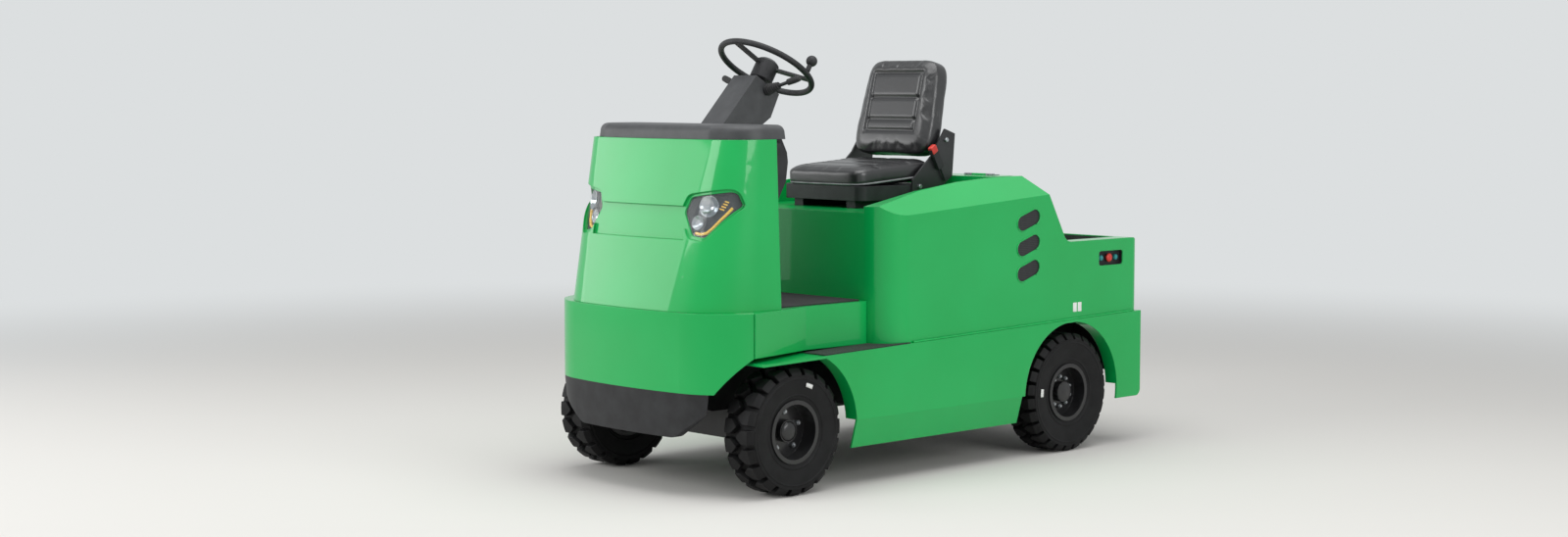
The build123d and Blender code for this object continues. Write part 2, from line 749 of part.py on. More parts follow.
# Floor pan of the foot well, with side walls down to the ledges
FLOOR_WALL_BASE_Z = LEDGE_FRONT_Z + FLOOR_LEDGE_GAP
with BuildPart() as floor_pan:
    for inset, base, mode in ((0, FLOOR_WALL_BASE_Z, Mode.ADD), (FLOOR_WALL, 0, Mode.SUBTRACT)):
        with BuildSketch(Plane.XY.offset(base)):
            Polygon(
                (BODY_FRONT_X + FIT_GAP, -FLOOR_HALF + inset),
                (FLOOR_FLARE_X, -FLOOR_HALF + inset),
                (NOSE_CREASE_X - FIT_GAP, -NOSE_HALF + FLOOR_TUCK + inset),
                (NOSE_CREASE_X - FIT_GAP, NOSE_HALF - FLOOR_TUCK - inset),
                (FLOOR_FLARE_X, FLOOR_HALF - inset),
                (BODY_FRONT_X + FIT_GAP, FLOOR_HALF - inset),
                align=None,
            )
        extrude(amount=FLOOR_Z - base - (FLOOR_PLATE if inset else 0), mode=mode)
save(floor_pan.part, "floor_pan")

MAT_FRONT_X = COWL_REAR_X - KICK_PANEL_THICK - MAT_TOE_GAP
MAT_REAR_X = BODY_FRONT_X + MAT_MARGIN
with BuildPart() as floor_mat:
    with BuildSketch(Plane.XY.offset(FLOOR_Z)):
        with Locations(((MAT_FRONT_X + MAT_REAR_X) / 2, 0)):
            RectangleRounded(MAT_FRONT_X - MAT_REAR_X, 2 * (FLOOR_HALF - MAT_SIDE_MARGIN), MAT_ROUND)
    extrude(amount=MAT_THICK)
save(floor_mat.part, "floor_mat")

# Accelerator and brake pedals on the mat
with BuildPart() as pedals:
    foot_z = FLOOR_Z + MAT_THICK
    for y, half in PEDALS:
        with BuildSketch(Plane.XZ.offset(-y)):
            Polygon(
                (MAT_FRONT_X - PEDAL_LONG, foot_z),
                (MAT_FRONT_X - PEDAL_TOE, foot_z),
                (MAT_FRONT_X - PEDAL_TOE, foot_z + PEDAL_FOOT),
                (MAT_FRONT_X - PEDAL_HINGE, foot_z + PEDAL_FOOT),
                (MAT_FRONT_X - PEDAL_TOE / 2, foot_z + PEDAL_RISE),
                (MAT_FRONT_X - PEDAL_TOE, foot_z + PEDAL_RISE + PEDAL_FOOT / 2),
                (MAT_FRONT_X - PEDAL_LONG, foot_z + PEDAL_PLATE),
                align=None,
            )
        extrude(amount=half, both=True)
save(pedals.part, "pedals")


def lamp_prism(side, grow):
    """Prism of the lamp outline along the machine, grown or shrunk by a clearance."""
    with BuildPart() as prism:
        with BuildSketch(Plane.YZ.offset(LAMP_REAR_X - grow)) as outline:
            Polygon(*[(side * y, COWL_TOP_Z - drop) for y, drop in zip(LAMP_YS, LAMP_DROPS)], align=None)
            fillet(outline.vertices(), LAMP_ROUND)
            if grow:
                offset(amount=grow)
        extrude(amount=NOSE_X)
    return prism.part


def band_prism(grow):
    """Prism along the machine of the sunk band that joins the lamps and runs round them."""
    band_mid_z = (COWL_BAND_LOW_Z + COWL_BAND_HIGH_Z) / 2
    with BuildPart() as prism:
        with BuildSketch(Plane.YZ.offset(LAMP_REAR_X - grow)):
            with Locations((0, band_mid_z)):
                Rectangle(2 * COWL_BAND_HALF + 2 * grow, COWL_BAND_HIGH_Z - COWL_BAND_LOW_Z + 2 * grow)
        extrude(amount=NOSE_X)
        for side in (1, -1):
            add(lamp_prism(side, LAMP_RECESS + grow))
    return prism.part


# Cowl: a lofted shield, open at the back, with a sunk band and two lamp openings in it
with BuildPart() as band_wall:
    add(band_prism(COWL_WALL))
    add(cowl_form(0, COWL_REAR_X), mode=Mode.INTERSECT)
    add(cowl_form(COWL_BAND_DEPTH + COWL_WALL, COWL_REAR_X - COWL_WALL), mode=Mode.SUBTRACT)

with BuildPart() as band_cut:
    add(band_prism(0))
    add(cowl_form(COWL_BAND_DEPTH, COWL_REAR_X - COWL_WALL), mode=Mode.SUBTRACT)

with BuildPart() as cowl:
    add(cowl_form(0, COWL_REAR_X))
    add(cowl_form(COWL_WALL, COWL_REAR_X - COWL_WALL), mode=Mode.SUBTRACT)
    add(band_wall.part)
    add(band_cut.part, mode=Mode.SUBTRACT)
    for side in (1, -1):
        add(lamp_prism(side, FIT_GAP), mode=Mode.SUBTRACT)
save(cowl.part, "cowl")

# Lamp housings: one cup on each side, closed at the back
with BuildPart() as lamp_hollow:
    for side in (1, -1):
        add(lamp_prism(side, -LAMP_WALL))
    add(cowl_form(LAMP_DEPTH - LAMP_WALL, COWL_REAR_X - COWL_WALL), mode=Mode.SUBTRACT)

with BuildPart() as headlamp_housings:
    for side in (1, -1):
        add(lamp_prism(side, 0))
    add(cowl_form(LAMP_SINK + LENS_THICK + FIT_GAP, COWL_REAR_X), mode=Mode.INTERSECT)
    add(cowl_form(LAMP_DEPTH, COWL_REAR_X - COWL_WALL), mode=Mode.SUBTRACT)
    add(lamp_hollow.part, mode=Mode.SUBTRACT)
save(headlamp_housings.part, "headlamp_housings")

with BuildPart() as headlamp_lenses:
    for side in (1, -1):
        add(lamp_prism(side, 0))
    add(cowl_form(LAMP_SINK, COWL_REAR_X), mode=Mode.INTERSECT)
    add(cowl_form(LAMP_SINK + LENS_THICK, COWL_REAR_X - COWL_WALL), mode=Mode.SUBTRACT)
save(headlamp_lenses.part, "headlamp_lenses")

# Dash: a rounded cap on the cowl, an instrument panel behind it and a kick panel down to the floor
DASH_REAR = [(FRONT_AXLE_X - back, COWL_TOP_Z - drop) for back, drop in zip(DASH_BACKS, DASH_DROPS)]
with BuildPart() as dash_cap:
    with BuildSketch(Plane.XY.offset(COWL_TOP_Z)):
        add(
            bowed_plan(
                COWL_TOP_FRONT_X - DASH_SETBACK,
                DASH_REAR[0][0],
                COWL_TOP_HALF - 2 * DASH_SETBACK,
                COWL_TOP_BOW,
                COWL_TOP_CORNER_R,
            )
        )
    extrude(amount=DASH_TOP_Z - COWL_TOP_Z, taper=DASH_TOP_TAPER)
    fillet(dash_cap.faces().sort_by(Axis.Z)[-1].edges(), DASH_TOP_ROUND)

with BuildPart() as dash:
    with BuildSketch(Plane.XZ):
        Polygon(
            (COWL_REAR_X - FIT_GAP, FLOOR_Z),
            (COWL_REAR_X - FIT_GAP, COWL_TOP_Z),
            *DASH_REAR,
            (COWL_REAR_X - FIT_GAP - KICK_PANEL_THICK, FLOOR_Z),
            align=None,
        )
    extrude(amount=DASH_HALF, both=True)
    add(dash_cap.part)
save(dash.part, "dash")

# Steering column shroud, from the dash up to just under the steering wheel
LEAN = math.radians(COLUMN_LEAN)
COLUMN_UP = Vector(-math.sin(LEAN), 0, math.cos(LEAN))
WHEEL_HUB = Vector(WHEEL_HUB_X, 0, WHEEL_HUB_Z)
SHROUD_TOP = WHEEL_HUB - COLUMN_UP * SHROUD_TOP_DROP
COLUMN_PLANE = Plane(origin=WHEEL_HUB, x_dir=(math.cos(LEAN), 0, math.sin(LEAN)), z_dir=COLUMN_UP)
with BuildPart() as column_shroud:
    with BuildSketch(Plane.XZ):
        forward = Vector(math.cos(LEAN), 0, math.sin(LEAN))
        top_front = SHROUD_TOP + forward * SHROUD_FORWARD
        top_back = SHROUD_TOP - forward * SHROUD_BACK
        Polygon(
            (top_front.X, top_front.Z),
            (top_back.X, top_back.Z),
            (top_back.X + SHROUD_HEEL_X, top_back.Z - SHROUD_HEEL_DROP),
            DASH_REAR[2],
            DASH_REAR[1],
            DASH_REAR[0],
            align=None,
        )
    extrude(amount=SHROUD_HALF, both=True)
    with BuildSketch(COLUMN_PLANE.offset(-SHROUD_TOP_DROP)):
        Circle(COLUMN_SHAFT_R)
    extrude(amount=SHROUD_TOP_DROP)
save(column_shroud.part, "column_shroud")

# Two levers under the wheel: travel direction on the left, indicator on the right
with BuildPart() as levers:
    for side, reach in LEVERS:
        root = SHROUD_TOP - COLUMN_UP * LEVER_DROP
        root = Vector(root.X, side * SHROUD_HALF, root.Z)
        aim = Vector(-LEVER_BACK, side, LEVER_LIFT).normalized()
        with BuildSketch(Plane(origin=root, z_dir=(0, side, 0))):
            Circle(LEVER_BOSS_R)
        extrude(amount=LEVER_BOSS)
        with BuildSketch(Plane(origin=root + aim * LEVER_ROOT, z_dir=aim)):
            Circle(LEVER_R)
        extrude(amount=reach - LEVER_ROOT)
        with BuildSketch(Plane(origin=root + aim * (reach - LEVER_GRIP), z_dir=aim)):
            Circle(LEVER_GRIP_R)
        extrude(amount=LEVER_GRIP)
save(levers.part, "levers")

# Steering wheel: rim, three spokes and a round hub, with a spinner knob on the left of the rim
with BuildPart() as steering_wheel:
    with BuildSketch(Plane(origin=WHEEL_HUB, x_dir=(0, 1, 0), z_dir=(math.cos(LEAN), 0, math.sin(LEAN)))):
        with Locations((STEER_RIM_R, 0)):
            Circle(STEER_TUBE_R)
    revolve(axis=Axis(WHEEL_HUB, COLUMN_UP))
    with BuildSketch(COLUMN_PLANE.offset(-STEER_HUB_LOW)):
        Circle(STEER_HUB_R)
    extrude(amount=STEER_HUB_LOW + STEER_HUB_HIGH)
    with BuildSketch(COLUMN_PLANE.offset(-SPOKE_DROP)):
        with PolarLocations(0, SPOKE_COUNT, start_angle=0):
            with Locations((STEER_RIM_R / 2, 0)):
                Rectangle(STEER_RIM_R, SPOKE_WIDTH)
    extrude(amount=SPOKE_THICK)
    with BuildSketch(COLUMN_PLANE.offset(-STEER_HUB_LOW)):
        Circle(COLUMN_SHAFT_R + FIT_GAP)
    extrude(amount=STEER_HUB_LOW + BORE_GAP, mode=Mode.SUBTRACT)
save(steering_wheel.part, "steering_wheel")

with BuildPart() as steering_knob:
    knob = math.radians(KNOB_ANGLE)
    knob_at = (STEER_RIM_R * math.cos(knob), STEER_RIM_R * math.sin(knob))
    with BuildSketch(COLUMN_PLANE.offset(STEER_TUBE_R)):
        with Locations(knob_at):
            Circle(KNOB_STEM_R)
    extrude(amount=KNOB_HEIGHT - STEER_TUBE_R)
    with Locations(COLUMN_PLANE.offset(KNOB_HEIGHT).location * Location((knob_at[0], knob_at[1], 0))):
        Sphere(KNOB_R)
save(steering_knob.part, "steering_knob")

# Side skirts: outer plate with both arches, ledge, folded lower band and arch flanges
FRONT_ARCH_R = FRONT_TYRE_R + ARCH_GAP_FRONT
REAR_ARCH_R = REAR_TYRE_R + ARCH_GAP_REAR
LEDGE_REAR_END = (BODY_REAR_X, ledge_z(BODY_REAR_X))
with BuildPart() as skirt_left:
    plate_y = SKIRT_HALF - SKIRT_PLATE
    for wide, is_flange in ((SKIRT_PLATE, False), (-ARCH_FLANGE_WIDTH, True)):
        with BuildSketch(Plane.XZ.offset(-plate_y)) as plate:
            Polygon(
                (FRONT_AXLE_X, ledge_z(FRONT_AXLE_X)),
                LEDGE_REAR_END,
                (BODY_REAR_X, QUARTER_BOTTOM_Z),
                (REAR_AXLE_X, QUARTER_BOTTOM_Z),
                (REAR_AXLE_X, SKIRT_FOLD_Z),
                (FRONT_AXLE_X, SKIRT_FOLD_Z),
                align=None,
            )
            fillet(plate.vertices().sort_by_distance((BODY_REAR_X, QUARTER_BOTTOM_Z, 0))[0], QUARTER_ROUND)
            if is_flange:
                with Locations((FRONT_AXLE_X, FRONT_TYRE_R)):
                    Circle(FRONT_ARCH_R + ARCH_FLANGE_PLATE, mode=Mode.INTERSECT)
            with Locations((FRONT_AXLE_X, FRONT_TYRE_R)):
                Circle(FRONT_ARCH_R, mode=Mode.SUBTRACT)
            if not is_flange:
                with Locations((REAR_AXLE_X, REAR_TYRE_R)):
                    Circle(REAR_ARCH_R, mode=Mode.SUBTRACT)
        extrude(amount=-wide)
    with BuildSketch(Plane.XZ.offset(-plate_y)):
        with Locations((REAR_AXLE_X, REAR_TYRE_R)):
            Circle(REAR_ARCH_R + ARCH_FLANGE_PLATE)
            Circle(REAR_ARCH_R, mode=Mode.SUBTRACT)
        with Locations((REAR_AXLE_X, SKIRT_FOLD_Z)):
            Rectangle(3 * REAR_ARCH_R, REAR_ARCH_R, align=(Align.CENTER, Align.MIN), mode=Mode.INTERSECT)
    extrude(amount=ARCH_FLANGE_WIDTH)
    with BuildSketch(Plane.XZ.offset(-LEDGE_INNER_Y)):
        Polygon(
            (NOSE_CREASE_X, ledge_z(NOSE_CREASE_X)),
            LEDGE_REAR_END,
            (BODY_REAR_X, ledge_z(BODY_REAR_X) - LEDGE_PLATE),
            (NOSE_CREASE_X, ledge_z(NOSE_CREASE_X) - LEDGE_PLATE),
            align=None,
        )
    extrude(amount=-(SKIRT_HALF - LEDGE_INNER_Y))
    with BuildSketch(Plane.YZ.offset(SKIRT_REAR_X)):
        Polygon(
            (SKIRT_HALF, SKIRT_FOLD_Z),
            (plate_y, SKIRT_FOLD_Z),
            (plate_y - FOLD_IN, SKIRT_BOTTOM_Z),
            (SKIRT_HALF - FOLD_IN, SKIRT_BOTTOM_Z),
            align=None,
        )
    extrude(amount=SKIRT_FRONT_X - SKIRT_REAR_X)
save(skirt_left.part, "skirt_left")
save(mirror(skirt_left.part, about=Plane.XZ), "skirt_right")

# Anti-slip pads on the ledges, up to the round corner of the body
with BuildPart() as step_pads:
    for side in (1, -1):
        with BuildSketch(Plane.XZ.offset(-side * (FLOOR_HALF + STEP_PAD_GAP))):
            Polygon(
                (STEP_PAD_FRONT_X, ledge_z(STEP_PAD_FRONT_X)),
                (STEP_PAD_REAR_X, ledge_z(STEP_PAD_REAR_X)),
                (STEP_PAD_REAR_X, ledge_z(STEP_PAD_REAR_X) + STEP_PAD_THICK),
                (STEP_PAD_FRONT_X, ledge_z(STEP_PAD_FRONT_X) + STEP_PAD_THICK),
                align=None,
            )
        extrude(amount=-side * (SKIRT_HALF - FLOOR_HALF - STEP_PAD_GAP - STEP_PAD_EDGE))
    with BuildSketch(Plane.XY.offset(BODY_BASE_Z)) as corner:
        with Locations((BODY_FRONT_X + STEP_PAD_GAP, 0)):
            Rectangle(4 * CUT_REACH, 2 * (BODY_HALF + STEP_PAD_GAP), align=(Align.MAX, Align.CENTER))
        fillet(corner.vertices().group_by(Axis.X)[-1], BODY_CORNER_R)
    extrude(amount=2 * CUT_REACH, mode=Mode.SUBTRACT)
    with BuildSketch(Plane.XY.offset(BODY_BASE_Z)):
        for side in (1, -1):
            Polygon(
                (FLOOR_FLARE_X, side * (FLOOR_HALF + STEP_PAD_GAP)),
                (NOSE_CREASE_X, side * (NOSE_HALF - FLOOR_TUCK + STEP_PAD_GAP)),
                (NOSE_CREASE_X, side * FLOOR_HALF),
                (FLOOR_FLARE_X, side * FLOOR_HALF),
                align=None,
            )
    extrude(amount=2 * CUT_REACH, mode=Mode.SUBTRACT)
save(step_pads.part, "step_pads")

# Welded frame: two rails, end plates, bay floor and outriggers to the skirts
FRONT_AXLE_Z = FRONT_TYRE_R
REAR_AXLE_Z = REAR_TYRE_R
YOKE_LOW = KNUCKLE_BOSS_HALF + YOKE_GAP
BEAM_TOP_Z = FRONT_AXLE_Z + YOKE_LOW + YOKE_PLATE
NECK_FRONT_X = REAR_AXLE_X + AXLE_CASE_R + 8
OUTRIGGER_STATIONS = (
    FRONT_AXLE_X - 370,
    BODY_FRONT_X - 320,
    NECK_FRONT_X + MOTOR_LENGTH + OUTRIGGER_WIDTH,
)
with BuildPart() as chassis_frame:
    for side in (1, -1):
        with BuildSketch(Plane.XZ.offset(-side * RAIL_OUTER_Y)):
            Polygon(
                (FRAME_FRONT_X - END_PLATE, RAIL_BOTTOM_Z + RAIL_FRONT_RISE),
                (FRAME_FRONT_X - END_PLATE, LEDGE_FRONT_Z),
                (BODY_FRONT_X - BODY_WALL - FIT_GAP, LEDGE_FRONT_Z),
                (BODY_FRONT_X - BODY_WALL - FIT_GAP, RAIL_TOP_Z),
                (BODY_REAR_X + END_PLATE, RAIL_TOP_Z),
                (BODY_REAR_X + END_PLATE, RAIL_BOTTOM_Z),
                (REAR_AXLE_X - RAIL_NOTCH_HALF, RAIL_NOTCH_Z),
                (REAR_AXLE_X + RAIL_NOTCH_HALF, RAIL_NOTCH_Z),
                (REAR_AXLE_X + RAIL_NOTCH_HALF + RAIL_RAMP, RAIL_SAG_Z),
                (FRONT_AXLE_X - RAIL_NOTCH_HALF - RAIL_RAMP, RAIL_SAG_Z),
                (FRONT_AXLE_X - RAIL_NOTCH_HALF, BEAM_TOP_Z),
                (FRONT_AXLE_X + RAIL_ARCH_FRONT, BEAM_TOP_Z),
                align=None,
            )
        extrude(amount=side * RAIL_THICK)
        for x in OUTRIGGER_STATIONS:
            with Locations((x, side * (RAIL_OUTER_Y - RAIL_THICK), OUTRIGGER_Z[0])):
                Box(
                    OUTRIGGER_WIDTH,
                    SKIRT_HALF - SKIRT_PLATE - RAIL_OUTER_Y + RAIL_THICK,
                    OUTRIGGER_Z[1] - OUTRIGGER_Z[0],
                    align=(Align.CENTER, Align.MIN if side > 0 else Align.MAX, Align.MIN),
                )
    with Locations((FRAME_FRONT_X, 0, RAIL_BOTTOM_Z)):
        Box(END_PLATE, END_PLATE_WIDE, LEDGE_FRONT_Z - RAIL_BOTTOM_Z, align=(Align.MAX, Align.CENTER, Align.MIN))
    with Locations((BODY_FRONT_X - BODY_WALL, 0, RAIL_TOP_Z)):
        Box(
            BODY_FRONT_X - BODY_WALL - HOOD_FOOT_X,
            2 * (BODY_HALF - BODY_WALL - BODY_CORNER_R),
            BAY_FLOOR_THICK,
            align=(Align.MAX, Align.CENTER, Align.MIN),
        )
    for x in OUTRIGGER_STATIONS:
        with Locations((x, 0, OUTRIGGER_Z[0])):
            Box(
                OUTRIGGER_WIDTH,
                2 * RAIL_OUTER_Y - RAIL_THICK,
                OUTRIGGER_Z[1] - OUTRIGGER_Z[0],
                align=(Align.CENTER, Align.CENTER, Align.MIN),
            )
save(chassis_frame.part, "chassis_frame")

# Thick rear plate between the skirts, which carries the hitch
with BuildPart() as rear_plate:
    with Locations((BODY_REAR_X, 0, RAIL_BOTTOM_Z)):
        Box(
            END_PLATE,
            2 * (SKIRT_HALF - SKIRT_PLATE),
            LEDGE_REAR_Z - LEDGE_PLATE - 2 - RAIL_BOTTOM_Z,
            align=(Align.MIN, Align.CENTER, Align.MIN),
        )
save(rear_plate.part, "rear_plate")

with BuildPart() as battery_pack:
    with Locations((BODY_FRONT_X - BODY_WALL - BATTERY_GAP, 0, RAIL_TOP_Z + BAY_FLOOR_THICK)):
        Box(
            BATTERY_LENGTH,
            BATTERY_WIDTH,
            BATTERY_HEIGHT,
            align=(Align.MAX, Align.CENTER, Align.MIN),
        )
save(battery_pack.part, "battery_pack")

# Front axle beam with forked ends and kingpins
with BuildPart() as front_axle:
    with Locations((FRONT_AXLE_X, 0, FRONT_AXLE_Z)):
        Box(BEAM_DEPTH, 2 * BEAM_HALF, 2 * (YOKE_LOW + YOKE_PLATE))
    for side in (1, -1):
        for base in (FRONT_AXLE_Z + YOKE_LOW, FRONT_AXLE_Z - YOKE_LOW - YOKE_PLATE):
            with BuildSketch(Plane.XY.offset(base)):
                with Locations((FRONT_AXLE_X, side * KINGPIN_Y)):
                    Circle(YOKE_R)
                with Locations((FRONT_AXLE_X, side * BEAM_HALF / 2)):
                    Rectangle(
                        2 * YOKE_R,
                        KINGPIN_Y - BEAM_HALF / 2,
                        align=(Align.CENTER, Align.MIN if side > 0 else Align.MAX),
                    )
            extrude(amount=YOKE_PLATE)
        with BuildSketch(Plane.XY.offset(FRONT_AXLE_Z - YOKE_LOW - YOKE_PLATE)):
            with Locations((FRONT_AXLE_X, side * KINGPIN_Y)):
                Circle(KINGPIN_R - FIT_GAP)
        extrude(amount=2 * (YOKE_LOW + YOKE_PLATE))
save(front_axle.part, "front_axle")

# Knuckle: boss on the kingpin, spindle outwards, steering arm backwards with its stud
with BuildPart() as knuckle_left:
    with BuildSketch(Plane.XY.offset(FRONT_AXLE_Z - KNUCKLE_BOSS_HALF)):
        with Locations((FRONT_AXLE_X, KINGPIN_Y)):
            Circle(KNUCKLE_BOSS_R)
    extrude(amount=2 * KNUCKLE_BOSS_HALF)
    with BuildSketch(Plane.XZ.offset(-KINGPIN_Y)):
        with Locations((FRONT_AXLE_X, FRONT_AXLE_Z)):
            Circle(SPINDLE_R)
    extrude(amount=-(SPINDLE_END_Y - KINGPIN_Y))
    with BuildSketch(Plane.XY.offset(FRONT_AXLE_Z - ARM_THICK / 2)):
        with Locations((FRONT_AXLE_X - STEER_ARM, KINGPIN_Y)):
            Circle(ARM_HALF_WIDTH)
        with Locations((FRONT_AXLE_X, KINGPIN_Y)):
            Rectangle(STEER_ARM, 2 * ARM_HALF_WIDTH, align=(Align.MAX, Align.CENTER))
    extrude(amount=ARM_THICK)
    with BuildSketch(Plane.XY.offset(FRONT_AXLE_Z - ROD_DROP - ROD_END_R / 2)):
        with Locations((FRONT_AXLE_X - STEER_ARM, KINGPIN_Y)):
            Circle(STUD_R)
    extrude(amount=ROD_DROP)
    with BuildSketch(Plane.XY.offset(FRONT_AXLE_Z - KNUCKLE_BOSS_HALF)):
        with Locations((FRONT_AXLE_X, KINGPIN_Y)):
            Circle(KINGPIN_R)
    extrude(amount=2 * KNUCKLE_BOSS_HALF, mode=Mode.SUBTRACT)
save(knuckle_left.part, "knuckle_left")
save(mirror(knuckle_left.part, about=Plane.XZ), "knuckle_right")

# Tie rod between the studs of both arms
with BuildPart() as tie_rod:
    rod_x = FRONT_AXLE_X - STEER_ARM
    rod_z = FRONT_AXLE_Z - ROD_DROP
    with BuildSketch(Plane.XZ.offset(KINGPIN_Y - ROD_END_R / 2)):
        with Locations((rod_x, rod_z)):
            Circle(ROD_R)
    extrude(amount=-2 * KINGPIN_Y + ROD_END_R)
    for y in (-KINGPIN_Y, KINGPIN_Y):
        with BuildSketch(Plane.XY.offset(rod_z - ROD_END_R / 2 - 4)):
            with Locations((rod_x, y)):
                Circle(ROD_END_R)
        extrude(amount=ROD_END_R + 8)
        with BuildSketch(Plane.XY.offset(rod_z - ROD_END_R)):
            with Locations((rod_x, y)):
                Circle(STUD_R + FIT_GAP)
        extrude(amount=3 * ROD_END_R, mode=Mode.SUBTRACT)
save(tie_rod.part, "tie_rod")

# Drive axle with its gear case, spring pads and wheel stubs, and the motor in front of it
with BuildPart() as rear_axle:
    for radius, half in ((AXLE_TUBE_R, AXLE_TUBE_HALF), (AXLE_CASE_R, AXLE_CASE_HALF), (STUB_R, STUB_END_Y)):
        with BuildSketch(Plane.XZ):
            with Locations((REAR_AXLE_X, REAR_AXLE_Z)):
                Circle(radius)
        extrude(amount=half, both=True)
    with BuildSketch(Plane.YZ.offset(REAR_AXLE_X)):
        with Locations((0, REAR_AXLE_Z)):
            Circle(AXLE_NECK_R)
    extrude(amount=NECK_FRONT_X - REAR_AXLE_X)
    for side in (1, -1):
        with Locations((REAR_AXLE_X, side * AXLE_PAD_Y[0], REAR_AXLE_Z)):
            Box(
                AXLE_PAD_LONG,
                AXLE_PAD_Y[1] - AXLE_PAD_Y[0],
                RAIL_NOTCH_Z - REAR_AXLE_Z,
                align=(Align.CENTER, Align.MIN if side > 0 else Align.MAX, Align.MIN),
            )
save(rear_axle.part, "rear_axle")

with BuildPart() as drive_motor:
    with BuildSketch(Plane.YZ.offset(NECK_FRONT_X)):
        with Locations((0, REAR_AXLE_Z)):
            Circle(MOTOR_R)
    extrude(amount=MOTOR_LENGTH)
save(drive_motor.part, "drive_motor")


def wheel_face(axle_x, axle_z, y, side):
    """Plane across a wheel at a Y, centred on the axle and facing outwards or inwards."""
    return Plane(origin=(axle_x, y, axle_z), x_dir=(1, 0, 0), z_dir=(0, side, 0))


def make_lug(base_r, top_r, half):
    """One lug of the left row above the axle: a drafted house with its tip at the tyre's middle and a sloped end."""
    with BuildPart() as lug:
        with BuildSketch(Plane.YZ):
            Polygon(
                (LUG_TIP_Y, base_r - LUG_SINK),
                (LUG_TIP_Y, top_r),
                (LUG_TOP_Y, top_r),
                (TYRE_HALF, base_r),
                (TYRE_HALF, base_r - LUG_SINK),
                align=None,
            )
        extrude(amount=half, both=True)
        with BuildSketch(Plane.XY.offset(base_r - LUG_SINK)):
            Polygon(
                (-half, TYRE_WIDTH),
                (-half, LUG_NECK_Y),
                (0, LUG_TIP_Y),
                (half, LUG_NECK_Y),
                (half, TYRE_WIDTH),
                align=None,
            )
        extrude(amount=top_r - base_r + 2 * LUG_SINK, taper=LUG_DRAFT, mode=Mode.INTERSECT)
    return lug.part


def make_tyre(axle_x, radius, outer_y, row_lugs):
    """Tyre on the left: two dished halves of a carcass, each with one flat for every lug of its row."""
    middle_y = outer_y - TYRE_HALF
    pitch = 360 / row_lugs
    lug_half = LUG_HALF * math.radians(pitch) * radius
    top_r = radius * math.cos(lug_half / radius)
    base_r = top_r - LUG_DEPTH
    bore_r = RIM_SEAT_R + FIT_GAP
    dish_depth = TYRE_HALF - BEAD_HALF
    dish_taper = math.degrees(math.atan2(base_r - bore_r, dish_depth))
    left_lug = make_lug(base_r, top_r, lug_half)
    rows = ((1, 0, left_lug), (-1, pitch / 2, mirror(left_lug, about=Plane.XZ)))
    middle = Pos(axle_x, middle_y, radius)
    lugs = [
        middle * Rot(0, 180 + turn + step * pitch, 0) * lug
        for side, turn, lug in rows
        for step in range(row_lugs)
    ]
    with BuildPart() as tyre:
        for side, turn, lug in rows:
            with BuildSketch(wheel_face(axle_x, radius, middle_y, side)):
                RegularPolygon(base_r, row_lugs, major_radius=False, rotation=turn + pitch / 2 - 90)
            extrude(amount=TYRE_HALF)
        add(lugs)
        for side, turn, lug in rows:
            with BuildSketch(wheel_face(axle_x, radius, middle_y + side * TYRE_HALF, -side)):
                RegularPolygon(base_r, row_lugs, major_radius=False, rotation=turn + pitch / 2 - 90)
            extrude(amount=dish_depth, taper=dish_taper, mode=Mode.SUBTRACT)
            with BuildSketch(wheel_face(axle_x, radius, middle_y, side)):
                RegularPolygon(bore_r, row_lugs, major_radius=False, rotation=turn + pitch / 2 - 90)
            extrude(amount=TYRE_HALF, mode=Mode.SUBTRACT)
    return tyre.part


def make_rim(axle_x, radius, outer_y, disc_y, bore_r, bore_end_y):
    """Rim on the left: seat with a lip at each end, a disc set deep inside, and a hub over the axle end."""
    middle_y = outer_y - TYRE_HALF
    lip_y = BEAD_HALF + RIM_LIP_GAP
    inner_r = RIM_SEAT_R - RIM_WALL
    with BuildPart() as rim:
        with BuildSketch(Plane(origin=(axle_x, 0, radius), x_dir=(1, 0, 0), z_dir=(0, 0, 1))):
            with Locations((inner_r, middle_y)):
                Rectangle(RIM_WALL, 2 * lip_y, align=(Align.MIN, Align.CENTER))
            for end in (-1, 1):
                with Locations((inner_r, middle_y + end * lip_y)):
                    Rectangle(RIM_WALL + RIM_LIP, RIM_LIP_THICK, align=(Align.MIN, Align.MIN if end > 0 else Align.MAX))
            with Locations((0, disc_y)):
                Rectangle(RIM_SEAT_R - RIM_WALL / 2, DISC_THICK, align=(Align.MIN, Align.MAX))
            with Locations((0, disc_y - HUB_BACK)):
                Rectangle(HUB_R, bore_end_y + HUB_CAP - disc_y + HUB_BACK, align=(Align.MIN, Align.MIN))
                Rectangle(
                    bore_r + FIT_GAP,
                    bore_end_y + BORE_GAP - disc_y + HUB_BACK,
                    align=(Align.MIN, Align.MIN),
                    mode=Mode.SUBTRACT,
                )
        revolve(axis=Axis((axle_x, 0, radius), (0, 1, 0)))
    return rim.part


